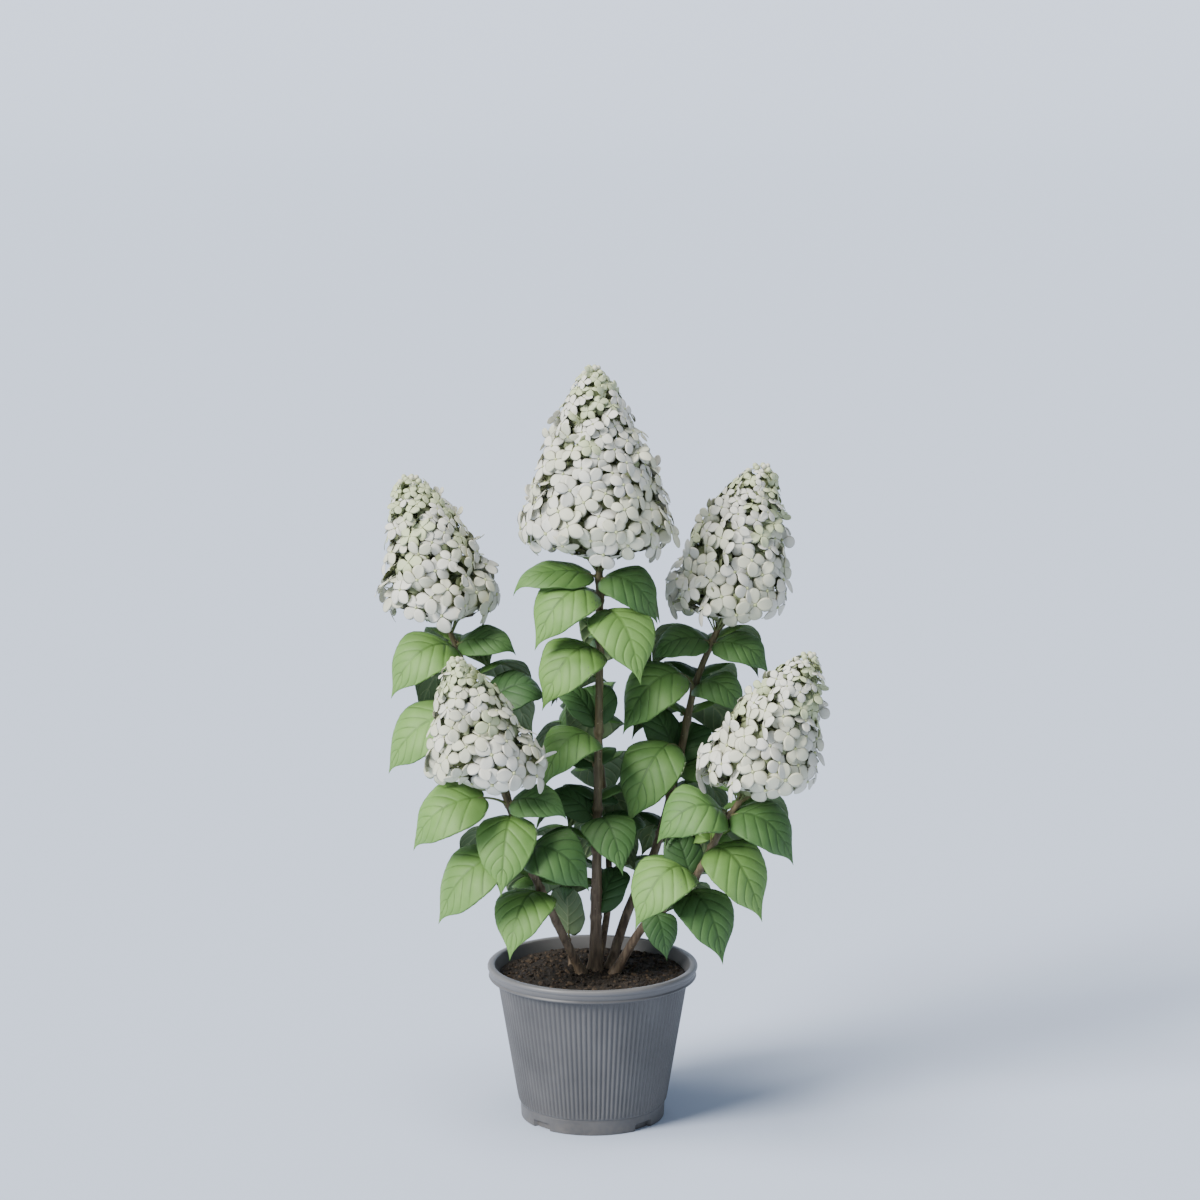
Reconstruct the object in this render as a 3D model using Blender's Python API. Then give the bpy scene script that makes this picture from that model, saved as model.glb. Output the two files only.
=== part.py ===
"""A panicle hydrangea in its ribbed nursery pot.

Metres, +Z up. The origin is the middle of the pot's flat underside, and the
plant is seen from the front looking along +Y, with +X to the right.
"""

import math

import bmesh
import bpy
import numpy as np

# Pot: a 7.5 litre nursery pot, its size taken over the rim
POT_HEIGHT = 0.1945
RIM_RADIUS = 0.130
RIM_DEPTH = 0.0165
LIP_WIDTH = 0.009
WALL_TOP_RADIUS = 0.1175
WALL_FOOT_RADIUS = 0.0910
FOOT_RADIUS = 0.0890
FOOT_HEIGHT = 0.019
WALL_THICKNESS = 0.0030
FLOOR_THICKNESS = 0.0125
POT_SIDES = 40
RIBS = 54
RIB_DEPTH = 0.0010
NOTCH_WIDTH = 0.027
NOTCH_HEIGHT = 0.0095
NOTCH_DEPTH = 0.006

# Compost: its top lies a little below the rim, flat round the canes
SOIL_Z = 0.184
SOIL_FLAT_RADIUS = 0.050
SOIL_DIP = 0.005
CLEAR = 0.0003

# Canes
STEM_SIDES = 8
STEM_STEP = 0.020
FLARE = 0.45
FLARE_HEIGHT = 0.012

# Leaves
BLADE_LENGTH = 0.108
BLADE_WIDTH = 0.68
BLADE_WIDEST = 0.30
BLADE_RISE = 0.38
BLADE_FALL = 0.80
PETIOLE_SHARE = 0.11
PETIOLE_RADIUS = 0.0016
BLADE_HALF_THICKNESS = 0.0009
BLADE_STATIONS = (0.07, 0.28, 0.58, 0.84)
CUP = 0.15
ARCH_NEAR = 0.30
ARCH_FAR = 0.97
ARCH_LIFT = 1.5

# Blooms: a core with florets all over it, large ones low down
CORE_SHARE = 0.84
CORE_STATIONS = (0.04, 0.20, 0.42, 0.64, 0.84)
CORE_TIP = 0.985
WIDEST = 0.2
FLORET_LOW = 0.0205
FLORET_TOP = 0.0100
FLORET_SINK = 0.93
FLORET_NOTCH = 0.55
FLORET_CUP = 0.12
TOP_FLORETS = 3
LOWEST_FLORET = 0.08
MOST_DOWNWARD = 0.5
UNDERSIDE_TOP = 0.04
UNDERSIDE_DIP = 0.006

# Leaves stay this far from other pieces; a cell of the map of filled space is this wide
CELL = 0.004
CELLS_ACROSS = 2000
ROOT_FREE = 0.014
SOIL_FREE = 0.004
SEED = 11

# Each cane: the points its middle runs through, its radius at the foot and at the
# tip with how early it thins, and its nodes from the foot up with where each ends.
CANES = {
    "center": {
        "through": [
            (0.003, 0.005, SOIL_Z), (0.005, 0.001, 0.300), (0.007, 0.000, 0.450),
            (0.009, 0.000, 0.600), (0.008, 0.000, 0.690),
        ],
        "radius": (0.0080, 0.0045, 2.5),
        "nodes": [("cane_center", 0.234), ("shoot_center_low", 0.454), ("shoot_center_high", None)],
    },
    "left": {
        "through": [
            (-0.014, -0.009, SOIL_Z), (-0.048, -0.034, 0.263), (-0.078, -0.055, 0.336),
            (-0.097, -0.072, 0.398), (-0.108, -0.086, 0.434),
        ],
        "radius": (0.0058, 0.0036, 1.0),
        "nodes": [("cane_left", 0.270), ("shoot_left_low", 0.407), ("shoot_lower_left", None)],
    },
    "upper_left": {
        "through": [
            (-0.0955, -0.0695, 0.394), (-0.109, -0.034, 0.435), (-0.132, 0.012, 0.495),
            (-0.158, 0.040, 0.560), (-0.178, 0.050, 0.606),
        ],
        "radius": (0.0042, 0.0034, 1.0),
        "nodes": [("bough_upper_left", 0.486), ("shoot_upper_left", None)],
        "branches_from": "left",
    },
    "upper_right": {
        "through": [
            (0.022, 0.014, SOIL_Z), (0.043, 0.030, 0.249), (0.078, 0.050, 0.325),
            (0.107, 0.060, 0.435), (0.128, 0.060, 0.535), (0.156, 0.060, 0.606),
        ],
        "radius": (0.0063, 0.0038, 1.0),
        "nodes": [
            ("cane_upper_right", 0.318), ("shoot_upper_right_low", 0.472),
            ("shoot_upper_right_high", None),
        ],
    },
    "lower_right": {
        "through": [
            (0.027, -0.012, SOIL_Z), (0.067, -0.030, 0.254), (0.121, -0.060, 0.312),
            (0.138, -0.070, 0.345), (0.157, -0.080, 0.386), (0.180, -0.090, 0.424),
        ],
        "radius": (0.0058, 0.0038, 1.0),
        "nodes": [("cane_lower_right", 0.238), ("shoot_lower_right", None)],
    },
    "back": {
        "through": [
            (0.008, 0.032, SOIL_Z), (0.020, 0.060, 0.262), (0.018, 0.088, 0.345),
            (0.010, 0.112, 0.430), (0.004, 0.126, 0.505),
        ],
        "radius": (0.0048, 0.0026, 1.0),
        "nodes": [("cane_back", 0.262), ("shoot_back", None)],
    },
    "sprout": {
        "through": [(-0.026, 0.022, SOIL_Z), (-0.029, 0.027, 0.205), (-0.0295, 0.029, 0.217)],
        "radius": (0.0032, 0.0026, 1.0),
        "nodes": [("shoot_sprout", None)],
    },
}

# Each bloom: where its lowest florets and its tip are, its widest radius, how
# full its sides are (1 for a cone, less for an egg) and how its axis bends.
BLOOMS = {
    "center": ((0.008, 0.000, 0.697), (0.001, 0.000, 0.936), 0.094, 0.66, 1.0),
    "upper_left": ((-0.184, 0.052, 0.613), (-0.226, 0.070, 0.793), 0.072, 0.50, 1.8),
    "upper_right": ((0.165, 0.062, 0.613), (0.209, 0.080, 0.806), 0.075, 0.50, 1.9),
    "left": ((-0.119, -0.094, 0.438), (-0.162, -0.112, 0.599), 0.069, 0.60, 1.3),
    "lower_right": ((0.194, -0.092, 0.431), (0.258, -0.112, 0.605), 0.073, 0.55, 1.7),
}
BLOOM_FLORETS = {"center": 46, "upper_left": 30, "upper_right": 31, "left": 26, "lower_right": 28}

# The leaves that face the front. Each: the height where its stalk leaves the
# cane, the way it points (0 is +X, 270 the front), how far out and how far down
# its tip is, how high it arches, and how far its face is turned to the front.
FRONT_LEAVES = {
    "left": [
        (0.412, 195, 0.115, 0.052, 0.024, 35), (0.412, 340, 0.075, 0.012, 0.030, 35),
        (0.396, 258, 0.062, 0.084, 0.012, 5), (0.345, 345, 0.080, 0.040, 0.028, 40),
        (0.318, 200, 0.122, 0.050, 0.044, 30), (0.290, 240, 0.080, 0.062, 0.014, 5),
    ],
    "upper_left": [
        (0.576, 205, 0.090, 0.050, 0.022, 30), (0.584, 345, 0.077, 0.008, 0.028, 35),
        (0.500, 195, 0.119, 0.063, 0.022, 35), (0.508, 20, 0.080, -0.005, 0.034, 30),
    ],
    "upper_right": [
        (0.584, 190, 0.073, 0.020, 0.026, 35), (0.582, 340, 0.075, 0.032, 0.020, 30),
        (0.529, 202, 0.096, 0.052, 0.032, 30), (0.525, 330, 0.070, 0.027, 0.020, 25),
        (0.430, 150, 0.050, -0.048, 0.055, 15), (0.430, 45, 0.050, -0.025, 0.040, 15),
        (0.445, 225, 0.092, 0.075, 0.024, 20), (0.420, 350, 0.090, 0.040, 0.020, 20),
    ],
    "lower_right": [
        (0.398, 340, 0.082, 0.052, 0.026, 30), (0.395, 200, 0.090, 0.022, 0.034, 35),
        (0.332, 320, 0.093, 0.052, 0.038, 20), (0.312, 120, 0.035, -0.036, 0.043, 20),
        (0.312, 220, 0.091, 0.044, 0.032, 20), (0.296, 310, 0.078, 0.073, 0.010, 10),
        (0.262, 300, 0.035, 0.048, 0.008, 10),
    ],
    "center": [
        (0.676, 186, 0.106, 0.018, 0.014, 20), (0.672, 340, 0.075, 0.048, 0.026, 30),
        (0.646, 212, 0.092, 0.050, 0.028, 25), (0.633, 300, 0.098, 0.072, 0.012, 10),
        (0.582, 215, 0.085, 0.060, 0.020, 25), (0.582, 40, 0.080, 0.030, 0.030, -30),
        (0.486, 150, 0.060, -0.030, 0.040, 10), (0.486, 80, 0.055, -0.030, 0.040, 10),
        (0.468, 212, 0.078, 0.044, 0.024, 18), (0.434, 62, 0.075, 0.024, 0.020, 15),
        (0.372, 160, 0.070, -0.020, 0.030, 25), (0.372, 300, 0.076, 0.050, 0.014, 10),
        (0.360, 20, 0.070, 0.005, 0.022, 25), (0.252, 35, 0.045, -0.035, 0.045, 15),
    ],
    "sprout": [(0.214, 250, 0.010, -0.050, 0.056, 0)],
}

# The leaves behind, in pairs up each cane by one seeded rule: the heights of
# the lowest and highest pair, and the number of pairs.
BACK_PAIRS = {
    "center": (0.285, 0.650, 8),
    "left": (0.300, 0.415, 3),
    "upper_left": (0.500, 0.580, 3),
    "upper_right": (0.345, 0.580, 6),
    "lower_right": (0.275, 0.400, 4),
    "back": (0.285, 0.497, 6),
}
BACK_REACH = 0.082
BACK_DROP = 0.045
BACK_ARCH = 0.020
BACK_TURN = -25
BEHIND = 90
WIDE_PAIR = 65
NARROW_PAIR = 28

UP = np.array([0.0, 0.0, 1.0])


def material(name, color, roughness):
    """A plain Principled material."""
    made = bpy.data.materials.new(name)
    made.use_nodes = True
    shader = made.node_tree.nodes["Principled BSDF"]
    shader.inputs["Base Color"].default_value = (*color, 1.0)
    shader.inputs["Roughness"].default_value = roughness
    made.diffuse_color = (*color, 1.0)
    return made


def new_object(name, bm, finish=None):
    """Makes an object from a bmesh, with its faces turned outwards."""
    bmesh.ops.recalc_face_normals(bm, faces=bm.faces)
    mesh = bpy.data.meshes.new(name)
    bm.to_mesh(mesh)
    bm.free()
    made = bpy.data.objects.new(name, mesh)
    bpy.context.scene.collection.objects.link(made)
    if finish:
        mesh.materials.append(finish)
    return made


def loft(bm, rings, tip=None):
    """Closes a skin over rings of points; the far end is a cap or, with tip, a point."""
    rows = [[bm.verts.new(point) for point in ring] for ring in rings]
    count = len(rows[0])
    for low, high in zip(rows, rows[1:]):
        for i in range(count):
            j = (i + 1) % count
            bm.faces.new((low[i], low[j], high[j], high[i]))
    bm.faces.new(list(reversed(rows[0])))
    if tip is None:
        bm.faces.new(rows[-1])
        return
    end = bm.verts.new(tip)
    for i in range(count):
        bm.faces.new((rows[-1][i], rows[-1][(i + 1) % count], end))


def turned(profile, sides):
    """Rings of a turned shape from (radius, height) pairs."""
    angles = np.linspace(0, 2 * math.pi, sides, endpoint=False)
    return [
        [(radius * math.cos(a), radius * math.sin(a), z) for a in angles]
        for radius, z in profile
    ]


def apply_boolean(base, others, operation):
    """Joins or cuts base with a list of objects, applies it and removes them."""
    helpers = bpy.data.collections.new("helpers")
    for other in others:
        helpers.objects.link(other)
    modifier = base.modifiers.new("boolean", "BOOLEAN")
    modifier.operation = operation
    modifier.operand_type = "COLLECTION"
    modifier.collection = helpers
    modifier.solver = "EXACT"
    bpy.context.view_layer.update()
    graph = bpy.context.evaluated_depsgraph_get()
    result = bpy.data.meshes.new_from_object(base.evaluated_get(graph))
    base.modifiers.clear()
    old = base.data
    base.data = result
    result.name = base.name
    bpy.data.meshes.remove(old)
    for other in others:
        bpy.data.objects.remove(other)
    bpy.data.collections.remove(helpers)


def smooth_curve(through, count=400):
    """A centripetal Catmull-Rom curve through the points, evenly sampled."""
    points = np.array(through, float)
    ends = np.vstack([2 * points[0] - points[1], points, 2 * points[-1] - points[-2]])
    knots = np.sqrt(np.linalg.norm(np.diff(ends, axis=0), axis=1))
    knots = np.concatenate([[0], np.cumsum(knots)])
    curve = []
    for u in np.linspace(knots[1], knots[-2], count):
        i = min(max(int(np.searchsorted(knots, u, side="right")) - 2, 0), len(points) - 2)
        p, t = ends[i:i + 4], knots[i:i + 4]
        a = [((t[k + 1] - u) * p[k] + (u - t[k]) * p[k + 1]) / (t[k + 1] - t[k]) for k in range(3)]
        b = [((t[k + 2] - u) * a[k] + (u - t[k]) * a[k + 1]) / (t[k + 2] - t[k]) for k in range(2)]
        curve.append(((t[2] - u) * b[0] + (u - t[1]) * b[1]) / (t[2] - t[1]))
    return np.array(curve)


class Cane:
    """The middle line of one cane or bough, with its radius along it."""

    def __init__(self, through, radius):
        self.points = smooth_curve(through)
        steps = np.linalg.norm(np.diff(self.points, axis=0), axis=1)
        self.along = np.concatenate([[0], np.cumsum(steps)])
        self.length = self.along[-1]
        self.foot_radius, self.tip_radius, self.taper = radius

    def point(self, s):
        return np.array([np.interp(s, self.along, self.points[:, k]) for k in range(3)])

    def tangent(self, s):
        ahead = self.point(min(s + 0.002, self.length))
        behind = self.point(max(s - 0.002, 0))
        return (ahead - behind) / np.linalg.norm(ahead - behind)

    def radius(self, s):
        thinned = (1 - min(s / self.length, 1)) ** self.taper
        return self.tip_radius + (self.foot_radius - self.tip_radius) * thinned

    def at_height(self, z):
        return float(np.interp(z, self.points[:, 2], self.along))

    def ring(self, s, extra=1.0, flat_at=None):
        """The corners of one section, or of a level cut at height flat_at."""
        along = self.tangent(s)
        across = np.cross(along, (0, 1, 0))
        across /= np.linalg.norm(across)
        other = np.cross(along, across)
        angles = np.linspace(0, 2 * math.pi, STEM_SIDES, endpoint=False)
        reach = self.radius(s) * extra
        corners = [
            self.point(s) + reach * (math.cos(a) * across + math.sin(a) * other) for a in angles
        ]
        if flat_at is not None:
            corners = [corner + along * (flat_at - corner[2]) / along[2] for corner in corners]
        return corners


def stem(name, cane, start, end, on_soil, finish):
    """The stretch of a cane from start to end, measured along it, as a solid."""
    count = max(2, int(round((end - start) / STEM_STEP)) + 1)
    stops = np.linspace(start, end, count)
    if on_soil:
        rings = [cane.ring(0.0, 1 + FLARE, SOIL_Z), cane.ring(FLARE_HEIGHT, 1 + 0.2 * FLARE)]
        rings += [cane.ring(s) for s in stops if s > 1.5 * FLARE_HEIGHT]
    else:
        rings = [cane.ring(s) for s in stops]
    bm = bmesh.new()
    loft(bm, rings)
    return new_object(name, bm, finish)


def leaf_lines(root, azimuth, reach, drop, arch, turn, count):
    """The lines that one leaf is built on, with count places along its blade.

    Its middle line is an arch in an upright plane, leant about the line from
    root to tip. The blade takes the last part of it, up to a full leaf's length.
    """
    angle = math.radians(azimuth)
    out = np.array([math.cos(angle), math.sin(angle), 0.0])
    side = np.array([-math.sin(angle), math.cos(angle), 0.0])
    controls = (
        0 * out,
        ARCH_NEAR * reach * out + ARCH_LIFT * arch * UP,
        ARCH_FAR * reach * out + ARCH_LIFT * arch * UP,
        reach * out - drop * UP,
    )
    t = np.linspace(0, 1, 121)[:, None]
    weights = ((1 - t) ** 3, 3 * (1 - t) ** 2 * t, 3 * (1 - t) * t ** 2, t ** 3)
    line = sum(weight * control for weight, control in zip(weights, controls))
    along = np.concatenate([[0], np.cumsum(np.linalg.norm(np.diff(line, axis=0), axis=1))])
    length = min(along[-1] * (1 - PETIOLE_SHARE), BLADE_LENGTH)
    stalk_length = along[-1] - length

    def read(distance):
        return np.stack([np.interp(distance, along, line[:, k]) for k in range(3)], -1)

    chord = controls[3] / np.linalg.norm(controls[3])
    lean = -math.radians(turn) * (1.0 if side[1] <= 0 else -1.0)

    def leant(v):
        across = np.cross(chord, v)
        on_chord = np.multiply.outer(v @ chord, chord)
        return v * math.cos(lean) + across * math.sin(lean) + on_chord * (1 - math.cos(lean))

    shares = np.linspace(0, 1, count)
    middle = read(stalk_length + shares * length)
    ahead = read(np.minimum(stalk_length + shares * length + 0.002, along[-1]))
    behind = read(stalk_length + shares * length - 0.002)
    tangent = ahead - behind
    tangent /= np.linalg.norm(tangent, axis=1)[:, None]
    face = np.cross(tangent, side)
    stalk = read(np.linspace(0, stalk_length, 4))
    return {
        "stalk": root + leant(stalk),
        "shares": shares,
        "middle": root + leant(middle),
        "side": leant(side),
        "face": leant(face),
        "length": length,
    }


def half_width(share):
    """Half of the blade's width at a share of its length, over its full length."""
    if share < BLADE_WIDEST:
        return 0.5 * BLADE_WIDTH * math.sin(0.5 * math.pi * share / BLADE_WIDEST) ** BLADE_RISE
    onward = (share - BLADE_WIDEST) / (1 - BLADE_WIDEST)
    return 0.5 * BLADE_WIDTH * (0.5 + 0.5 * math.cos(math.pi * onward)) ** BLADE_FALL


def blade_points(lines, share, across):
    """A point of the blade at a share of its length, across from -1 to 1."""
    middle = np.array([np.interp(share, lines["shares"], lines["middle"][:, k]) for k in range(3)])
    face = np.array([np.interp(share, lines["shares"], lines["face"][:, k]) for k in range(3)])
    width = half_width(share) * lines["length"]
    return middle + across * width * lines["side"] - abs(across) * CUP * width * face, face


def leaf_object(name, lines):
    """A leaf: a four-sided stalk that widens into a thin cupped blade."""
    rings = []
    stalk = lines["stalk"]
    first_face = lines["face"][0]
    for point in (stalk[0], stalk[2]):
        side = PETIOLE_RADIUS * lines["side"]
        face = PETIOLE_RADIUS * first_face
        rings.append([point + side, point + face, point - side, point - face])
    for share in BLADE_STATIONS:
        left, face = blade_points(lines, share, 1.0)
        right, _ = blade_points(lines, share, -1.0)
        middle, _ = blade_points(lines, share, 0.0)
        rib = BLADE_HALF_THICKNESS * face
        rings.append([left, middle + rib, right, middle - rib])
    bm = bmesh.new()
    loft(bm, rings, tip=lines["middle"][-1])
    return new_object(name, bm)


def leaf_samples(lines):
    """Points spread over a leaf and its stalk, to test where it goes."""
    points = [
        blade_points(lines, share, across)[0]
        for share in np.linspace(0.02, 1.0, 30)
        for across in np.linspace(-1, 1, 17)
    ]
    stalk = lines["stalk"]
    for low, high in zip(stalk, stalk[1:]):
        points += [low + (high - low) * f for f in np.linspace(0, 1, 6)]
    return np.array(points)


class Space:
    """Which cells of space each node fills, so that leaves of two nodes never meet."""

    def __init__(self):
        self.filled = {}
        steps = np.arange(-1, 2)
        self.around = np.stack(np.meshgrid(steps, steps, steps), -1).reshape(-1, 3)

    def cells(self, points, around):
        """The cells that points lie in, and those around them, each as one number."""
        inside = np.unique(np.floor(np.asarray(points) / CELL).astype(int), axis=0)
        spread = (inside[:, None, :] + around[None, :, :]).reshape(-1, 3) + CELLS_ACROSS // 2
        return set((spread @ [CELLS_ACROSS ** 2, CELLS_ACROSS, 1]).tolist())

    def add(self, node, points, widened=True):
        around = self.around if widened else np.zeros((1, 3), int)
        self.filled.setdefault(node, set()).update(self.cells(points, around))

    def clear(self, node, points):
        found = self.cells(points, np.zeros((1, 3), int))
        return all(
            other == node or found.isdisjoint(filled) for other, filled in self.filled.items()
        )


def bloom_axis(bloom, h):
    """The middle of a bloom at a share h of its height."""
    base, tip, _, _, bend = bloom
    base, tip = np.array(base), np.array(tip)
    h = max(h, 0.0)
    return base + (tip - base) * np.array([h ** bend, h ** bend, h])


def bloom_radius(bloom, h):
    """A bloom's radius at a share h of its height."""
    radius, fullness = bloom[2], bloom[3]
    if h < WIDEST:
        return radius * math.sqrt(max(1 - 0.85 * ((WIDEST - h) / WIDEST) ** 2, 0))
    return radius * max((1 - h) / (1 - WIDEST), 0) ** fullness


def bloom_places(bloom, count):
    """Where florets sit: (share of height, angle), evened over the surface."""
    shares = np.linspace(LOWEST_FLORET, CORE_TIP, 200)
    area = np.array([bloom_radius(bloom, h) for h in shares])
    total = np.cumsum(area)
    total /= total[-1]
    places = []
    for i in range(count):
        h = float(np.interp((i + 0.5) / count, total, shares))
        places.append((h, i * math.pi * (3 - math.sqrt(5))))
    return places


def bloom_frame(bloom, h, angle, share=1.0):
    """A point on the bloom's surface and the direction straight out of it."""
    out = np.array([math.cos(angle), math.sin(angle), 0.0])
    height = bloom[1][2] - bloom[0][2]
    slope = (bloom_radius(bloom, h + 0.02) - bloom_radius(bloom, h - 0.02)) / (0.04 * height)
    slope = min(max(slope, -2.0), MOST_DOWNWARD)
    normal = out - slope * UP
    point = bloom_axis(bloom, h) + share * bloom_radius(bloom, h) * out
    return point, normal / np.linalg.norm(normal)


def floret_object(name, centre, normal, size, spin, depth):
    """Four petals as an eight-cornered star, with a cone behind it into the core."""
    across = np.cross(normal, UP + 0.01 * np.array([1.0, 2.0, 0.0]))
    across /= np.linalg.norm(across)
    other = np.cross(normal, across)
    ring = []
    for corner in range(8):
        angle = spin + corner * math.pi / 4
        reach = size if corner % 2 == 0 else FLORET_NOTCH * size
        lift = FLORET_CUP * size if corner % 2 == 0 else 0.0
        spoke = math.cos(angle) * across + math.sin(angle) * other
        ring.append(centre + reach * spoke + lift * normal)
    bm = bmesh.new()
    rim = [bm.verts.new(point) for point in ring]
    front = bm.verts.new(centre + 0.8 * FLORET_CUP * size * normal)
    back = bm.verts.new(centre - depth * normal)
    for i in range(8):
        j = (i + 1) % 8
        bm.faces.new((rim[i], rim[j], front))
        bm.faces.new((rim[j], rim[i], back))
    return new_object(name, bm)


def bloom_core(name, cane, bloom, finish):
    """The solid middle of a bloom, from just above its cane's tip to near its own."""
    shift = CLEAR * cane.tangent(cane.length)
    foot = [corner + shift for corner in cane.ring(cane.length)]
    spokes = np.array(foot) - (cane.point(cane.length) + shift)
    turn = math.atan2(spokes[0][1], spokes[0][0])
    way = math.copysign(1, np.cross(spokes[0], spokes[1])[2])
    rings = [foot]
    for h in CORE_STATIONS:
        reach = CORE_SHARE * bloom_radius(bloom, h)
        angles = turn + way * np.linspace(0, 2 * math.pi, STEM_SIDES, endpoint=False)
        rings.append([
            bloom_axis(bloom, h) + reach * np.array([math.cos(a), math.sin(a), 0.0]) for a in angles
        ])
    bm = bmesh.new()
    loft(bm, rings, tip=bloom_axis(bloom, CORE_TIP))
    return new_object(name, bm, finish)


def bloom_object(name, cane, bloom, count, finish):
    """A panicle: its core, with florets joined on all over it."""
    core = bloom_core(name, cane, bloom, finish)
    rng = np.random.default_rng(SEED)
    florets = []
    for i, (h, angle) in enumerate(bloom_places(bloom, count)):
        point, normal = bloom_frame(bloom, h, angle, FLORET_SINK)
        size = FLORET_LOW + (FLORET_TOP - FLORET_LOW) * h ** 1.3
        size *= rng.uniform(0.92, 1.08)
        depth = 0.35 * bloom_radius(bloom, h) + 0.010
        spin = rng.uniform(0, math.pi / 2)
        florets.append(floret_object(f"floret{i}", point, normal, size, spin, depth))
    for k in range(TOP_FLORETS):
        point, normal = bloom_frame(bloom, 0.95, 2 * math.pi * k / TOP_FLORETS, 0.8)
        florets.append(floret_object(f"top{k}", point, normal, FLORET_TOP, 0.3, 0.012))
    apply_boolean(core, florets, "UNION")
    return core


def bloom_samples(bloom):
    """Points over a bloom's outside, and points over its underside round the stem."""
    angles = np.linspace(0, 2 * math.pi, 100, endpoint=False)
    outside = [
        bloom_frame(bloom, h, angle, 1.05)[0] for h in np.linspace(0, 1, 60) for angle in angles
    ]
    underside = []
    for share in (0.15, 0.30, 0.45, 0.60):
        middle = bloom_axis(bloom, share * UNDERSIDE_TOP) - UNDERSIDE_DIP * (1 - share) * UP
        reach = share * bloom_radius(bloom, UNDERSIDE_TOP)
        underside += [middle + reach * np.array([math.cos(a), math.sin(a), 0.0]) for a in angles]
    return outside, underside


def node_of(cane_name, z):
    """The node that holds a leaf whose stalk leaves the cane at height z."""
    for name, top in CANES[cane_name]["nodes"]:
        if top is None or z < top:
            return name
    return None


def leaf_tries(row):
    """The leaf as asked, then turned and lowered a little, until one is clear."""
    z, azimuth, reach, drop, arch, turn = row
    for shrink, lower in ((1.0, 1.0), (1.0, 0.6), (0.85, 0.8), (0.7, 0.7)):
        for swing in (0, 6, -6, 12, -12, 20, -20, 30, -30):
            yield (azimuth + swing, reach * shrink, drop, arch * lower, turn)


def settle(space, canes, cane_name, row):
    """The first try of a leaf that meets nothing, or None."""
    cane = canes[cane_name]
    node = node_of(cane_name, row[0])
    root = cane.point(cane.at_height(row[0]))
    for shape in leaf_tries(row):
        lines = leaf_lines(root, *shape, 24)
        points = leaf_samples(lines)
        away = points[np.linalg.norm(points - root, axis=1) > ROOT_FREE]
        if away[:, 2].min() > SOIL_Z + SOIL_FREE and space.clear(node, away):
            space.add(node, away)
            return node, lines
    return None


def back_rows(cane_name, rng):
    """Leaves in pairs: across each other up the back cane, behind the stem elsewhere."""
    low, high, pairs = BACK_PAIRS[cane_name]
    for i, z in enumerate(np.linspace(low, high, pairs)):
        odd = i % 2
        if cane_name == "back":
            azimuths = (90 * odd, 90 * odd + 180)
        elif odd:
            azimuths = (BEHIND - WIDE_PAIR, BEHIND + WIDE_PAIR)
        else:
            azimuths = (BEHIND - 10 - NARROW_PAIR, BEHIND - 10 + NARROW_PAIR)
        for azimuth in azimuths:
            yield (
                z, azimuth + rng.uniform(-12, 12), BACK_REACH * rng.uniform(0.9, 1.1),
                BACK_DROP * rng.uniform(0.7, 1.3), BACK_ARCH * rng.uniform(0.7, 1.3), BACK_TURN,
            )


def place_leaves(canes):
    """Every leaf of the plant by the node that holds it."""
    space = Space()
    for cane_name, cane in canes.items():
        for s in np.arange(0, cane.length, 0.002):
            for name, top in CANES[cane_name]["nodes"]:
                if top is None or cane.point(s)[2] < top:
                    space.add(name, cane.ring(s))
                    break
    for cane_name, bloom in BLOOMS.items():
        outside, underside = bloom_samples(bloom)
        space.add("bloom_" + cane_name, outside, widened=False)
        space.add("bloom_" + cane_name, underside)
    placed = {}
    rng = np.random.default_rng(SEED)
    rows = [(name, row) for name in FRONT_LEAVES for row in FRONT_LEAVES[name]]
    rows += [(name, row) for name in BACK_PAIRS for row in back_rows(name, rng)]
    for cane_name, row in rows:
        settled = settle(space, canes, cane_name, row)
        if settled:
            placed.setdefault(settled[0], []).append(settled[1])
    return placed


def bough_start(canes, name):
    """How far along a bough its foot is just clear of the cane that bears it."""
    parent = canes[CANES[name]["branches_from"]]
    bough = canes[name]
    for s in np.arange(0.0, 0.03, 0.0002):
        corners = np.array(bough.ring(s))
        gaps = np.linalg.norm(corners[:, None, :] - parent.points[None, :, :], axis=2)
        nearest = gaps.argmin(axis=1)
        free = gaps.min(axis=1) - [parent.radius(parent.along[k]) for k in nearest]
        if free.min() > CLEAR:
            return float(s)
    return 0.03


def build_plant(bark, green, cream):
    """Canes, leafy shoots and blooms."""
    canes = {name: Cane(spec["through"], spec["radius"]) for name, spec in CANES.items()}
    leaves = place_leaves(canes)
    for cane_name, spec in CANES.items():
        cane = canes[cane_name]
        start = 0.0
        if "branches_from" in spec:
            start = bough_start(canes, cane_name)
        for index, (node, top) in enumerate(spec["nodes"]):
            end = cane.length if top is None else cane.at_height(top)
            on_soil = index == 0 and "branches_from" not in spec
            finish = green if node.startswith("shoot") else bark
            limb = stem(node, cane, start, end, on_soil, finish)
            fused = [
                leaf_object(f"{node}_leaf{i}", lines)
                for i, lines in enumerate(leaves.get(node, []))
            ]
            if fused:
                apply_boolean(limb, fused, "UNION")
            start = end + CLEAR
    for cane_name, bloom in BLOOMS.items():
        bloom_object("bloom_" + cane_name, canes[cane_name], bloom, BLOOM_FLORETS[cane_name], cream)


def pot_inner_radius(z):
    """The radius of the pot's hollow at height z."""
    slope = (WALL_TOP_RADIUS - WALL_FOOT_RADIUS) / (POT_HEIGHT - RIM_DEPTH - FOOT_HEIGHT)
    return WALL_FOOT_RADIUS - WALL_THICKNESS + slope * (z - FOOT_HEIGHT)


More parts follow.
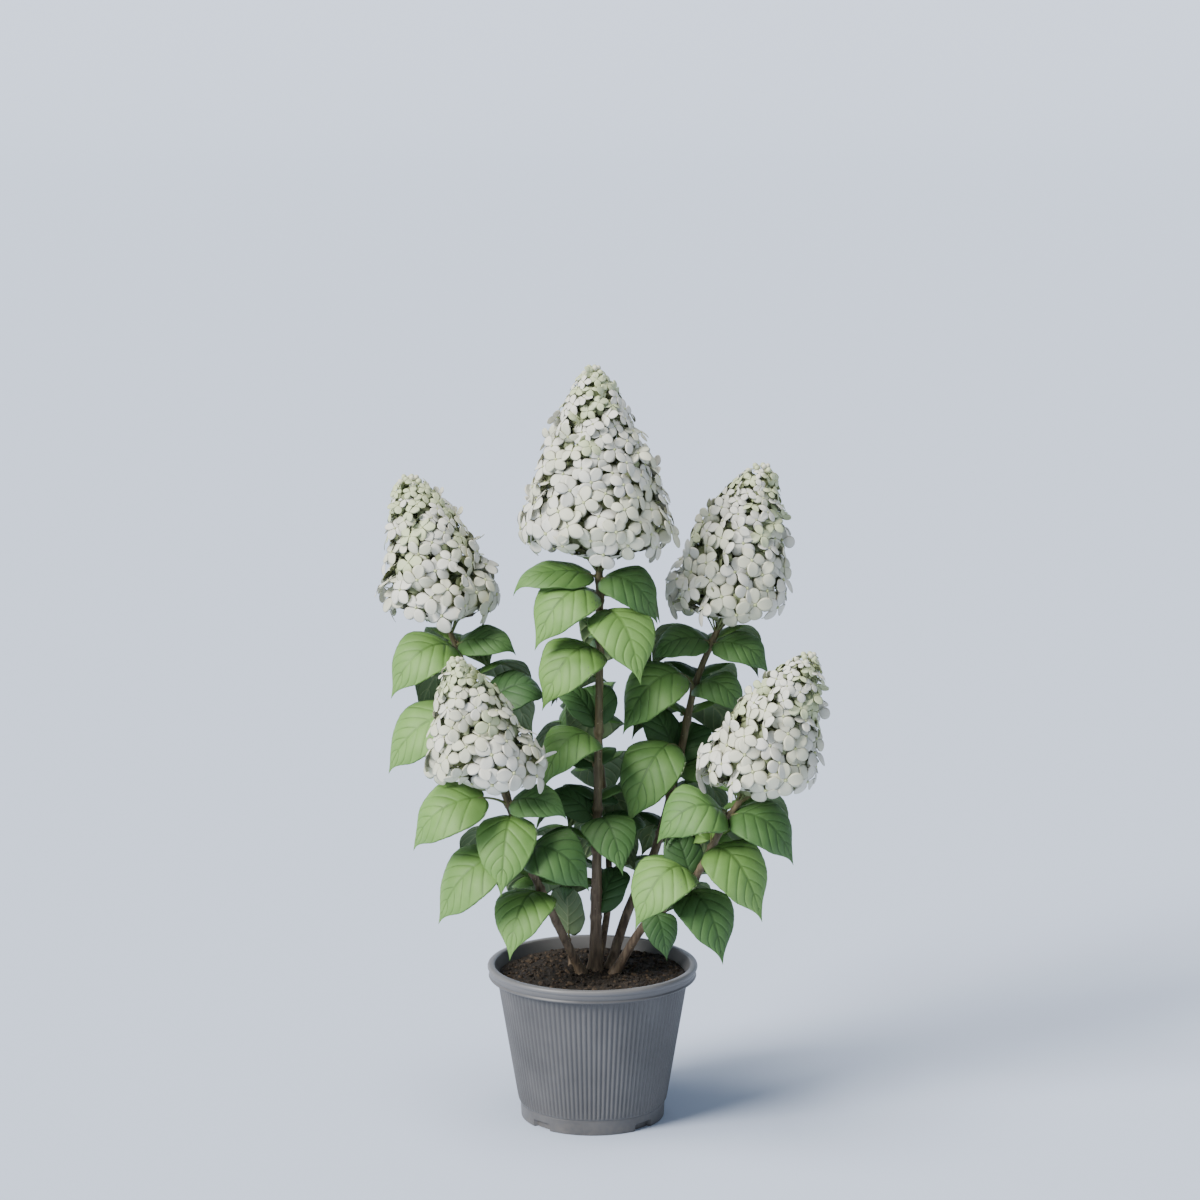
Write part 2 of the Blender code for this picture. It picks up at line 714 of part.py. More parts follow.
def build_pot(plastic):
    """The pot: a turned wall, rim and foot, with ribs and four notches."""
    wall_top = POT_HEIGHT - RIM_DEPTH
    # From the foot's rounded edge up the wall to the rim's band, its bead and the lip
    outside = [
        (FOOT_RADIUS - 0.0015, 0.0), (FOOT_RADIUS, 0.0015),
        (FOOT_RADIUS + 0.0008, FOOT_HEIGHT - 0.001), (WALL_FOOT_RADIUS, FOOT_HEIGHT + 0.0005),
        (WALL_TOP_RADIUS - 0.0002, wall_top - 0.001), (RIM_RADIUS - 0.0030, wall_top),
        (RIM_RADIUS - 0.0015, wall_top + 0.001), (RIM_RADIUS - 0.0022, wall_top + 0.003),
        (RIM_RADIUS - 0.0012, POT_HEIGHT - 0.006), (RIM_RADIUS, POT_HEIGHT - 0.004),
        (RIM_RADIUS - 0.0006, POT_HEIGHT - 0.0015), (RIM_RADIUS - 0.003, POT_HEIGHT),
        (RIM_RADIUS - LIP_WIDTH + 0.002, POT_HEIGHT),
    ]
    bm = bmesh.new()
    loft(bm, turned(outside, POT_SIDES))
    pot = new_object("pot", bm, plastic)

    angles = np.linspace(0, 2 * math.pi, 2 * RIBS, endpoint=False)
    crest = RIB_DEPTH * np.where(np.arange(2 * RIBS) % 2, 0.5, -0.5)
    rings = []
    for radius, z in ((WALL_FOOT_RADIUS, FOOT_HEIGHT + 0.001), (WALL_TOP_RADIUS, wall_top + 0.001)):
        out = radius + crest
        rings.append(list(zip(out * np.cos(angles), out * np.sin(angles), [z] * len(angles))))
    bm = bmesh.new()
    loft(bm, rings)
    apply_boolean(pot, [new_object("ribs", bm)], "UNION")

    lip = RIM_RADIUS - LIP_WIDTH
    hollow = [
        (pot_inner_radius(FLOOR_THICKNESS), FLOOR_THICKNESS),
        (pot_inner_radius(wall_top), wall_top),
        (lip, POT_HEIGHT - 0.004),
        (lip, POT_HEIGHT - 0.001),
        (lip + 0.003, POT_HEIGHT + 0.001),
    ]
    bm = bmesh.new()
    loft(bm, turned(hollow, POT_SIDES))
    cutters = [new_object("hollow", bm)]
    for k in range(4):
        bm = bmesh.new()
        bmesh.ops.create_cube(bm, size=1.0)
        size = (2 * NOTCH_DEPTH, NOTCH_WIDTH, 2 * NOTCH_HEIGHT)
        bmesh.ops.scale(bm, vec=size, verts=bm.verts)
        notch = new_object(f"notch{k}", bm)
        angle = math.radians(45 + 90 * k)
        notch.location = (FOOT_RADIUS * math.cos(angle), FOOT_RADIUS * math.sin(angle), 0.0)
        notch.rotation_euler = (0.0, 0.0, angle)
        cutters.append(notch)
    apply_boolean(pot, cutters, "DIFFERENCE")


def build_compost(earth):
    """The compost: it fills the pot, flat round the canes and uneven beyond."""
    rng = np.random.default_rng(SEED)
    low = FLOOR_THICKNESS + CLEAR
    top = POT_HEIGHT - RIM_DEPTH
    angles = np.linspace(0, 2 * math.pi, POT_SIDES, endpoint=False)
    profile = [
        (pot_inner_radius(low) - 2 * CLEAR, low),
        (pot_inner_radius(top) - 2 * CLEAR, top),
    ]
    rings = turned(profile, POT_SIDES)
    for radius, dip in ((0.098, SOIL_DIP), (0.074, 0.6 * SOIL_DIP)):
        rings.append([
            (radius * math.cos(a), radius * math.sin(a), SOIL_Z - CLEAR - dip * rng.uniform(0.3, 1.0))
            for a in angles
        ])
    rings += turned([(SOIL_FLAT_RADIUS, SOIL_Z - CLEAR)], POT_SIDES)
    bm = bmesh.new()
    loft(bm, rings)
    new_object("compost", bm, earth)


def main():
    for old in list(bpy.data.objects):
        bpy.data.objects.remove(old)
    bark = material("bark", (0.20, 0.15, 0.09), 0.75)
    green = material("leaf green", (0.10, 0.20, 0.06), 0.55)
    cream = material("petal cream", (0.80, 0.78, 0.66), 0.60)
    plastic = material("grey plastic", (0.05, 0.05, 0.055), 0.50)
    earth = material("compost", (0.030, 0.022, 0.016), 0.95)
    build_pot(plastic)
    build_compost(earth)
    build_plant(bark, green, cream)


main()
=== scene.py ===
"""The looks of a potted panicle hydrangea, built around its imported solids.

Metres, +Z up, the plant seen from the front looking along +Y. The leaves grow by
the same rule as the solids, written again here, with finer blades and florets.
"""

import math

import bmesh
import bpy
import numpy as np
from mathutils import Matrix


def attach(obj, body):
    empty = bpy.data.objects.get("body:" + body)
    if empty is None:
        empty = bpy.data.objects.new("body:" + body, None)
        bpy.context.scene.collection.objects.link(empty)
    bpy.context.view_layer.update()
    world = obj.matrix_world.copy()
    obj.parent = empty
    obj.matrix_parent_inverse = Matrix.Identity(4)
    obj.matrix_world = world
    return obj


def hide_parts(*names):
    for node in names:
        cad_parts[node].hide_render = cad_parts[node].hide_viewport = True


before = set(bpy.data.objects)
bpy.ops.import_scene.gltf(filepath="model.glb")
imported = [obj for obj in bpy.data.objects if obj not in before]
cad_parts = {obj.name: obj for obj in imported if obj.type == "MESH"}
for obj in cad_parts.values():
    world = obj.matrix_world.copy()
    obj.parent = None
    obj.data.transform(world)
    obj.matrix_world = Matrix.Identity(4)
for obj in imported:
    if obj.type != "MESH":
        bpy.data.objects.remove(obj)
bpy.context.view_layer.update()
SCENE = bpy.context.scene

# Camera: 4 m in front, looking a little down
SENSOR_WIDTH = 36.0
FOCAL_PIXELS = 3339
PICTURE_PIXELS = 1200
CAMERA_PLACE = (0.0092, -4.0, 1.336)
CAMERA_PITCH = 9.74


def link(name, data):
    """A new object in the scene."""
    made = bpy.data.objects.new(name, data)
    SCENE.collection.objects.link(made)
    return made


camera_data = bpy.data.cameras.new("camera")
camera_data.sensor_width = SENSOR_WIDTH
camera_data.lens = SENSOR_WIDTH * FOCAL_PIXELS / PICTURE_PIXELS
camera = link("camera", camera_data)
camera.location = CAMERA_PLACE
camera.rotation_euler = (math.radians(90 - CAMERA_PITCH), 0.0, 0.0)
SCENE.camera = camera

# Pot
POT_HEIGHT = 0.1945
RIM_RADIUS = 0.130
RIM_DEPTH = 0.0165
LIP_WIDTH = 0.009
WALL_TOP = POT_HEIGHT - RIM_DEPTH
WALL_TOP_RADIUS = 0.1175
WALL_FOOT_RADIUS = 0.0910
WALL_THICKNESS = 0.0030
FOOT_RADIUS = 0.0890
FOOT_HEIGHT = 0.019
FLOOR_THICKNESS = 0.0125

# Compost
SOIL_Z = 0.184
SOIL_FLAT_RADIUS = 0.050
SOIL_DIP = 0.005

# Canes. STEP is how far apart rings lie and how far a direction looks each way
STEM_SIDES = 8
FLARE = 0.45
FLARE_HEIGHT = 0.012
STEP = 0.002

# Leaves: the longest blade in metres, then shares of it, powers (RISE, FALL) and factors (CUP, ARCH)
BLADE_LENGTH = 0.108
BLADE_WIDTH = 0.68
BLADE_WIDEST = 0.30
BLADE_RISE = 0.38
BLADE_FALL = 0.80
PETIOLE_SHARE = 0.11
CUP = 0.15
ARCH_NEAR = 0.30
ARCH_FAR = 0.97
ARCH_LIFT = 1.5

# Blooms: places as shares of the height, slopes as metres out for each metre up, and florets' reach
WIDEST = 0.2
UNDERCUT = 0.85
FLORET_LOW = 0.0212
FLORET_TOP = 0.0078
LOWEST_FLORET = 0.08
SLOPE_STEP = 0.02
MOST_UPWARD = -2.0
MOST_DOWNWARD = 0.5
UNDERSIDE_TOP = 0.04
UNDERSIDE_DIP = 0.006

# How leaves are kept apart: cells of space, test points, and what a leaf tries
CELL = 0.004
CELLS_ACROSS = 2000
ROOT_FREE = 0.014
SOIL_FREE = 0.004
TEST_PLACES = 24
TEST_ROWS = 30
TEST_COLUMNS = 17
BLOOM_REACH = 1.05
BLOOM_ROWS = 60
BLOOM_COLUMNS = 100
UNDERSIDE_RINGS = (0.15, 0.30, 0.45, 0.60)
SHRUNK_AND_LOWERED = ((1.0, 1.0), (1.0, 0.6), (0.85, 0.8), (0.7, 0.7))
SWINGS = (0, 6, -6, 12, -12, 20, -20, 30, -30)

# Chance: its seed, and the range of a random turn
SEED = 11
ANY_TURN = 6.28

# Each cane: points in millimetres, radii at foot and tip and a taper, its nodes with their tops
CANES = {
    "center": (
        [(3, 5, 184), (5, 1, 300), (7, 0, 450), (9, 0, 600), (8, 0, 690)],
        (0.0080, 0.0045, 2.5),
        [("cane_center", 0.234), ("shoot_center_low", 0.454), ("shoot_center_high", math.inf)],
    ),
    "left": (
        [(-14, -9, 184), (-48, -34, 263), (-78, -55, 336), (-97, -72, 398), (-108, -86, 434)],
        (0.0058, 0.0036, 1.0),
        [("cane_left", 0.270), ("shoot_left_low", 0.407), ("shoot_lower_left", math.inf)],
    ),
    "upper_left": (
        [(-95.5, -69.5, 394), (-109, -34, 435), (-132, 12, 495), (-158, 40, 560), (-178, 50, 606)],
        (0.0042, 0.0034, 1.0),
        [("bough_upper_left", 0.486), ("shoot_upper_left", math.inf)],
    ),
    "upper_right": (
        [(22, 14, 184), (43, 30, 249), (78, 50, 325), (107, 60, 435), (128, 60, 535), (156, 60, 606)],
        (0.0063, 0.0038, 1.0),
        [
            ("cane_upper_right", 0.318), ("shoot_upper_right_low", 0.472),
            ("shoot_upper_right_high", math.inf),
        ],
    ),
    "lower_right": (
        [
            (27, -12, 184), (67, -30, 254), (121, -60, 312), (138, -70, 345),
            (157, -80, 386), (180, -90, 424),
        ],
        (0.0058, 0.0038, 1.0),
        [("cane_lower_right", 0.238), ("shoot_lower_right", math.inf)],
    ),
    "back": (
        [(8, 32, 184), (20, 60, 262), (18, 88, 345), (10, 112, 430), (4, 126, 505)],
        (0.0048, 0.0026, 1.0),
        [("cane_back", 0.262), ("shoot_back", math.inf)],
    ),
    "sprout": (
        [(-26, 22, 184), (-29, 27, 205), (-29.5, 29, 217)],
        (0.0032, 0.0026, 1.0),
        [("shoot_sprout", math.inf)],
    ),
}

# Each bloom: its base and tip in millimetres, radius, fullness and how its axis bends
BLOOMS = {
    "center": ((8, 0, 697), (1, 0, 936), 0.094, 0.66, 1.0),
    "upper_left": ((-184, 52, 613), (-226, 70, 793), 0.072, 0.50, 1.8),
    "upper_right": ((165, 62, 613), (209, 80, 806), 0.075, 0.50, 1.9),
    "left": ((-119, -94, 438), (-162, -112, 599), 0.069, 0.60, 1.3),
    "lower_right": ((194, -92, 431), (258, -112, 605), 0.073, 0.55, 1.7),
}

# Each leaf that shows: height, direction, reach, drop, arch, turn, and what each is divided by
LEAF_UNITS = (1000, 1, 1000, 1000, 1000, 1)
FRONT_LEAVES = {
    "left": [
        (412, 195, 115, 52, 24, 35), (412, 340, 75, 12, 30, 35), (396, 258, 62, 84, 12, 5),
        (345, 345, 80, 40, 28, 40), (318, 200, 122, 50, 44, 30), (290, 240, 80, 62, 14, 5),
    ],
    "upper_left": [
        (576, 205, 90, 50, 22, 30), (584, 345, 77, 8, 28, 35), (500, 195, 119, 63, 22, 35),
        (508, 20, 80, -5, 34, 30),
    ],
    "upper_right": [
        (584, 190, 73, 20, 26, 35), (582, 340, 75, 32, 20, 30), (529, 202, 96, 52, 32, 30),
        (525, 330, 70, 27, 20, 25), (430, 150, 50, -48, 55, 15), (430, 45, 50, -25, 40, 15),
        (445, 225, 92, 75, 24, 20), (420, 350, 90, 40, 20, 20),
    ],
    "lower_right": [
        (398, 340, 82, 52, 26, 30), (395, 200, 90, 22, 34, 35), (332, 320, 93, 52, 38, 20),
        (312, 120, 35, -36, 43, 20), (312, 220, 91, 44, 32, 20), (296, 310, 78, 73, 10, 10),
        (262, 300, 35, 48, 8, 10),
    ],
    "center": [
        (676, 186, 106, 18, 14, 20), (672, 340, 75, 48, 26, 30), (646, 212, 92, 50, 28, 25),
        (633, 300, 98, 72, 12, 10), (582, 215, 85, 60, 20, 25), (582, 40, 80, 30, 30, -30),
        (486, 150, 60, -30, 40, 10), (486, 80, 55, -30, 40, 10), (468, 212, 78, 44, 24, 18),
        (434, 62, 75, 24, 20, 15), (372, 160, 70, -20, 30, 25), (372, 300, 76, 50, 14, 10),
        (360, 20, 70, 5, 22, 25), (252, 35, 45, -35, 45, 15),
    ],
    "sprout": [(214, 250, 10, -50, 56, 0)],
}

# One letter a leaf for its tone, painted light and shade on one green: light, mid, shaded or deep
LEAF_LIGHT_AND_SHADE = {
    "left": "LSLSLL",
    "upper_left": "LSLD",
    "upper_right": "SSMSDDMM",
    "lower_right": "SMLDLSD",
    "center": "MSLLLDDDMDDSDD",
    "sprout": "D",
}

# Leaves behind: the lowest and the highest pair on each cane, and how many pairs
BACK_PAIRS = {
    "center": (0.285, 0.650, 8),
    "left": (0.300, 0.415, 3),
    "upper_left": (0.500, 0.580, 3),
    "upper_right": (0.345, 0.580, 6),
    "lower_right": (0.275, 0.400, 4),
    "back": (0.285, 0.497, 6),
}
BACK_REACH = 0.082
BACK_DROP = 0.045
BACK_ARCH = 0.020
BACK_TURN = -25
BACK_SWING = 12
BEHIND = ((52, 108), (25, 155))
CROSSED = ((0, 180), (90, 270))

UP = np.array([0.0, 0.0, 1.0])


def unit(vector):
    return vector / np.linalg.norm(vector)


def outward(angle):
    """The level direction at an angle in radians."""
    return np.array([math.cos(angle), math.sin(angle), 0.0])


def all_round(count):
    """Angles spread evenly over a whole turn."""
    return np.linspace(0, 2 * math.pi, count, endpoint=False)


def distances(points):
    """How far along a line of points each one lies."""
    return np.concatenate([[0], np.cumsum(np.linalg.norm(np.diff(points, axis=0), axis=1))])


def between(places, stops, points):
    """Points read off a line at some places. Its own points lie at its stops."""
    return np.stack([np.interp(places, stops, points[:, k]) for k in range(3)], -1)


# The rule that the solids grow by


def smooth_curve(through, count=400):
    """A smooth curve through the points, even where some lie close together."""
    points = np.array(through, float)
    ends = np.vstack([2 * points[0] - points[1], points, 2 * points[-1] - points[-2]])
    knots = np.sqrt(np.linalg.norm(np.diff(ends, axis=0), axis=1))
    knots = np.concatenate([[0], np.cumsum(knots)])
    curve = []
    for u in np.linspace(knots[1], knots[-2], count):
        i = min(max(int(np.searchsorted(knots, u, side="right")) - 2, 0), len(points) - 2)
        p, t = ends[i:i + 4], knots[i:i + 4]
        a = [((t[k + 1] - u) * p[k] + (u - t[k]) * p[k + 1]) / (t[k + 1] - t[k]) for k in range(3)]
        b = [((t[k + 2] - u) * a[k] + (u - t[k]) * a[k + 1]) / (t[k + 2] - t[k]) for k in range(2)]
        curve.append(((t[2] - u) * b[0] + (u - t[1]) * b[1]) / (t[2] - t[1]))
    return np.array(curve)


class Cane:
    """The middle line, radius and nodes of one cane or bough."""

    def __init__(self, through, radius, nodes):
        self.points = smooth_curve(np.array(through) / 1000)
        self.along = distances(self.points)
        self.length = self.along[-1]
        self.foot_radius, self.tip_radius, self.taper = radius
        self.nodes = nodes
        self.is_bough = self.points[0, 2] > SOIL_Z + SOIL_FREE

    def point(self, s):
        return between(s, self.along, self.points)

    def tangent(self, s):
        return unit(self.point(min(s + STEP, self.length)) - self.point(max(s - STEP, 0)))

    def radius(self, s):
        thinned = (1 - min(s / self.length, 1)) ** self.taper
        return self.tip_radius + (self.foot_radius - self.tip_radius) * thinned

    def at_height(self, z):
        return float(np.interp(z, self.points[:, 2], self.along))

    def node_at(self, z):
        return next(name for name, top in self.nodes if z < top)

    def ring(self, s):
        """Points round the cane at a place along it."""
        along = self.tangent(s)
        across = unit(np.cross(along, (0, 1, 0)))
        other = np.cross(along, across)
        reach = self.radius(s)
        spokes = [math.cos(a) * across + math.sin(a) * other for a in all_round(STEM_SIDES)]
        return [self.point(s) + reach * spoke for spoke in spokes]


def leaf_lines(root, azimuth, reach, drop, arch, turn, count, longest=BLADE_LENGTH):
    """The lines that one leaf is built on, with count places on its blade."""
    out = outward(math.radians(azimuth))
    side = np.cross(UP, out)
    controls = (
        0 * out,
        ARCH_NEAR * reach * out + ARCH_LIFT * arch * UP,
        ARCH_FAR * reach * out + ARCH_LIFT * arch * UP,
        reach * out - drop * UP,
    )
    t = np.linspace(0, 1, 121)[:, None]
    weights = ((1 - t) ** 3, 3 * (1 - t) ** 2 * t, 3 * (1 - t) * t ** 2, t ** 3)
    line = sum(weight * control for weight, control in zip(weights, controls))
    along = distances(line)
    length = min(along[-1] * (1 - PETIOLE_SHARE), longest)
    stalk_length = along[-1] - length
    chord = unit(controls[3])
    lean = -math.radians(turn) * (1.0 if side[1] <= 0 else -1.0)

    def leant(v):
        """Leans directions, or points from the root, about the line from root to tip."""
        across = np.cross(chord, v)
        on_chord = np.multiply.outer(v @ chord, chord)
        return v * math.cos(lean) + across * math.sin(lean) + on_chord * (1 - math.cos(lean))

    shares = np.linspace(0, 1, count)
    places = stalk_length + shares * length
    ahead = between(np.minimum(places + STEP, along[-1]), along, line)
    tangent = ahead - between(places - STEP, along, line)
    tangent /= np.linalg.norm(tangent, axis=1)[:, None]
    return {
        "stalk": root + leant(between(np.linspace(0, stalk_length, 4), along, line)),
        "shares": shares,
        "middle": root + leant(between(places, along, line)),
        "side": leant(side),
        "face": leant(np.cross(tangent, side)),
        "length": length,
    }


def half_width(share):
    """Half of the blade's width, over its length, at a share of it."""
    rise = np.sin(0.5 * math.pi * np.clip(share / BLADE_WIDEST, 0, 1)) ** BLADE_RISE
    onward = np.clip((share - BLADE_WIDEST) / (1 - BLADE_WIDEST), 0, 1)
    return 0.5 * BLADE_WIDTH * rise * (0.5 + 0.5 * np.cos(math.pi * onward)) ** BLADE_FALL


def leaf_samples(lines):
    """Points all over a leaf and its stalk."""
    share = np.repeat(np.linspace(0.02, 1.0, TEST_ROWS), TEST_COLUMNS)
    across = np.tile(np.linspace(-1, 1, TEST_COLUMNS), TEST_ROWS)
    width = half_width(share) * lines["length"]
    blade = between(share, lines["shares"], lines["middle"]) + (across * width)[:, None] * lines["side"]
    blade -= (np.abs(across) * CUP * width)[:, None] * between(share, lines["shares"], lines["face"])
    points = [blade]
    for low, high in zip(lines["stalk"], lines["stalk"][1:]):
        points.append(low + (high - low) * np.linspace(0, 1, 6)[:, None])
    return np.concatenate(points)


class Space:
    """The cells of space that each node fills, so that no two nodes' leaves meet."""

    def __init__(self):
        self.filled = {}

    def cells(self, points, reach):
        """The cells that points lie in, and those within reach, each as one number."""
        steps = np.arange(-reach, reach + 1)
        around = np.stack(np.meshgrid(steps, steps, steps), -1).reshape(-1, 3)
        inside = np.unique(np.floor(np.asarray(points) / CELL).astype(int), axis=0)
        spread = (inside[:, None, :] + around).reshape(-1, 3) + CELLS_ACROSS // 2
        return set((spread @ [CELLS_ACROSS ** 2, CELLS_ACROSS, 1]).tolist())

    def add(self, node, points, reach=1):
        self.filled.setdefault(node, set()).update(self.cells(points, reach))

    def clear(self, node, points):
        found = self.cells(points, 0)
        return all(other == node or found.isdisjoint(cells) for other, cells in self.filled.items())


def floret_size(h):
    """How far a sepal reaches at a share h of the bloom's height."""
    return FLORET_LOW + (FLORET_TOP - FLORET_LOW) * h ** 2


class Bloom:
    """The cone that one bloom fills. A place in it is a share h of its height."""

    def __init__(self, base, tip, widest, fullness, bend):
        self.base = np.array(base) / 1000
        self.rise = np.array(tip) / 1000 - self.base
        self.widest = widest
        self.fullness = fullness
        self.bend = bend

    def axis(self, h):
        """The middle of the bloom."""
        h = max(h, 0.0)
        return self.base + self.rise * np.array([h ** self.bend, h ** self.bend, h])

    def radius(self, h):
        if h < WIDEST:
            return self.widest * math.sqrt(max(1 - UNDERCUT * ((WIDEST - h) / WIDEST) ** 2, 0))
        return self.widest * max((1 - h) / (1 - WIDEST), 0) ** self.fullness

    def places(self, cover, low, top):
        """Where florets sit, as (h, angle), closer together where they are small."""
        shares = np.linspace(low, top, 200)
        wanted = [math.pi * self.radius(h) * self.rise[2] / floret_size(h) ** 2 for h in shares]
        total = np.cumsum(wanted)
        count = int(cover * total[-1] * (top - low) / len(shares))
        total /= total[-1]
        for i in range(count):
            yield float(np.interp((i + 0.5) / count, total, shares)), i * math.pi * (3 - math.sqrt(5))

    def frame(self, h, angle, share=1.0):
        """A point at a share of the radius, and the direction out of the surface."""
        out = outward(angle)
        widened = self.radius(h + SLOPE_STEP) - self.radius(h - SLOPE_STEP)
        slope = min(max(widened / (2 * SLOPE_STEP * self.rise[2]), MOST_UPWARD), MOST_DOWNWARD)
        return self.axis(h) + share * self.radius(h) * out, unit(out - slope * UP)

    def samples(self):
        """Points over the outside, and points over the underside round the stem."""
        angles = all_round(BLOOM_COLUMNS)
        heights = np.linspace(0, 1, BLOOM_ROWS)
        outside = [self.frame(h, angle, BLOOM_REACH)[0] for h in heights for angle in angles]
        underside = []
        for share in UNDERSIDE_RINGS:
            middle = self.axis(share * UNDERSIDE_TOP) - UNDERSIDE_DIP * (1 - share) * UP
            reach = share * self.radius(UNDERSIDE_TOP)
            underside += [middle + reach * outward(angle) for angle in angles]
        return outside, underside


def settle(space, cane, row):
    """The first shape of a leaf that meets nothing, turned more and more, then made smaller."""
    z, azimuth, reach, drop, arch, turn = row
    node = cane.node_at(z)
    root = cane.point(cane.at_height(z))
    for shrink, lower in SHRUNK_AND_LOWERED:
        for swing in SWINGS:
            shape = (azimuth + swing, reach * shrink, drop, arch * lower, turn)
            points = leaf_samples(leaf_lines(root, *shape, TEST_PLACES))
            away = points[np.linalg.norm(points - root, axis=1) > ROOT_FREE]
            if away[:, 2].min() > SOIL_Z + SOIL_FREE and space.clear(node, away):
                space.add(node, away)
                return node, root, shape
    return None


def back_rows(name, rng):
    """Pairs of leaves, crossed up the back cane and behind the stem elsewhere."""
    low, high, pairs = BACK_PAIRS[name]
    directions = CROSSED if name == "back" else BEHIND
    for i, z in enumerate(np.linspace(low, high, pairs)):
        for azimuth in directions[i % 2]:
            yield (
                z, azimuth + rng.uniform(-BACK_SWING, BACK_SWING), BACK_REACH * rng.uniform(0.9, 1.1),
                BACK_DROP * rng.uniform(0.7, 1.3), BACK_ARCH * rng.uniform(0.7, 1.3), BACK_TURN,
            )


def place_leaves(canes, blooms):
    """Every leaf by the node that holds it, as (cane, root, shape, tone)."""
    space = Space()
    for cane in canes.values():
        for s in np.arange(0, cane.length, STEP):
            space.add(cane.node_at(cane.point(s)[2]), cane.ring(s))
    for name, bloom in blooms.items():
        outside, underside = bloom.samples()
        space.add("bloom_" + name, outside, reach=0)
        space.add("bloom_" + name, underside)
    rows = []
    for name, leaves in FRONT_LEAVES.items():
        rows += [(name, row, tone) for row, tone in zip(np.array(leaves) / LEAF_UNITS, LEAF_LIGHT_AND_SHADE[name])]
    rng = np.random.default_rng(SEED)
    rows += [(name, row, None) for name in BACK_PAIRS for row in back_rows(name, rng)]
    placed = {}
    for name, row, tone in rows:
        settled = settle(space, canes[name], row)
        if settled:
            node, root, shape = settled
            placed.setdefault(node, []).append((name, root, shape, tone))
    return placed


# Materials


class Skin:
    """A material in the making, patterned on the object's own coordinates."""

    def __init__(self, name):
        self.made = bpy.data.materials.new(name)
        self.made.use_nodes = True
        self.tree = self.made.node_tree
        self.place = self.node("ShaderNodeTexCoord", {}).outputs["Object"]

    def feed(self, socket, value):
        """Joins an input to an output, or sets its value."""
        if isinstance(value, bpy.types.NodeSocket):
            self.tree.links.new(value, socket)
        elif socket.type == "RGBA":
            socket.default_value = (*value, 1.0)
        else:
            socket.default_value = value

    def node(self, kind, inputs):
        made = self.tree.nodes.new(kind)
        for name, value in inputs.items():
            self.feed(made.inputs[name], value)
        return made

    def shade(self, name, value):
        """Feeds one input of the material's shader."""
        self.feed(self.tree.nodes["Principled BSDF"].inputs[name], value)

    def noise(self, scale, detail=4.0, stretch=None):
        """Noise with about scale spots to a metre, stretched if asked."""
        place = self.place
        if stretch:
            place = self.node("ShaderNodeMapping", {"Vector": place, "Scale": stretch}).outputs["Vector"]
        inputs = {"Vector": place, "Scale": scale, "Detail": detail}
        return self.node("ShaderNodeTexNoise", inputs).outputs["Fac"]

    def height(self):
        return self.node("ShaderNodeSeparateXYZ", {"Vector": self.place}).outputs["Z"]

    def ranged(self, value, low, high, to_low=0.0, to_high=1.0):
        """Spreads a value's range low to high over to_low to to_high."""
        inputs = {"Value": value, "From Min": low, "From Max": high, "To Min": to_low, "To Max": to_high}
        return self.node("ShaderNodeMapRange", inputs).outputs["Result"]

    def mixed(self, share, first, second):
        """Mixes two colors by a share."""
        node = self.node("ShaderNodeMix", {})
        node.data_type = "RGBA"
        for number, value in ((0, share), (6, first), (7, second)):
            self.feed(node.inputs[number], value)
        return node.outputs[2]

    def spotted(self, noise, first, second):
        """One color where noise is low and another where it is high, with soft edges."""
        return self.mixed(self.ranged(noise, 0.35, 0.65), first, second)

    def bump(self, height, strength, distance):
        inputs = {"Height": height, "Strength": strength, "Distance": distance}
        self.shade("Normal", self.node("ShaderNodeBump", inputs).outputs["Normal"])


def grown_material(name, color, second, spot=30, rough=0.6, grain=1400, strength=0.25):
    """Living tissue: two near tones in soft spots, with a fine grain."""
    skin = Skin(name)
    skin.shade("Base Color", skin.spotted(skin.noise(spot), color, second))
    fine = skin.noise(grain, 5.0)
    skin.shade("Roughness", skin.ranged(fine, 0.3, 0.7, rough - 0.07, rough + 0.07))
    skin.shade("Specular IOR Level", 0.38)
    skin.bump(fine, strength, 0.0006)
    skin.made.diffuse_color = (*color, 1.0)
    return skin.made


def bark_material():
    """Brown below, greener above, with streaks along the cane."""
    skin = Skin("cane_bark")
    streak = skin.noise(260.0, 5.0, (1.0, 1.0, 0.12))
    old = skin.spotted(streak, (0.10, 0.068, 0.042), (0.23, 0.165, 0.105))
    young = skin.spotted(streak, (0.085, 0.070, 0.032), (0.150, 0.125, 0.055))
    skin.shade("Base Color", skin.mixed(skin.ranged(skin.height(), 0.26, 0.52), old, young))
    skin.shade("Roughness", skin.ranged(streak, 0.3, 0.7, 0.80, 0.58))
    skin.bump(streak, 0.5, 0.0010)
    return skin.made


def pot_material():
    """Dark grey plastic, satin and cloudy, with painted light that makes the rim paler, and dusty at the
    foot.
    """
    skin = Skin("pot_plastic")
    height = skin.height()
    cloud = skin.noise(14.0, 6.0)
    plain = skin.spotted(cloud, (0.080, 0.078, 0.078), (0.118, 0.115, 0.115))
    # Painted light: the rim and lip are mixed towards a paler grey, as if they caught more light than the
    # wall
    rim_painted_light = skin.ranged(height, WALL_TOP, POT_HEIGHT, 0.0, 0.55)
    plain = skin.mixed(rim_painted_light, plain, (0.215, 0.211, 0.210))
    near_ground = skin.ranged(height, 0.040, 0.0, 0.0, 0.5)
    patchy = skin.ranged(skin.noise(130.0, 9.0), 0.35, 0.75)
    dust = skin.node("ShaderNodeMath", {0: near_ground, 1: patchy})
    dust.operation = "MULTIPLY"
    skin.shade("Base Color", skin.mixed(dust.outputs[0], plain, (0.17, 0.15, 0.13)))
    skin.shade("Roughness", skin.ranged(cloud, 0.3, 0.7, 0.36, 0.52))
    skin.bump(skin.noise(900.0, 2.0), 0.12, 0.0004)
    return skin.made


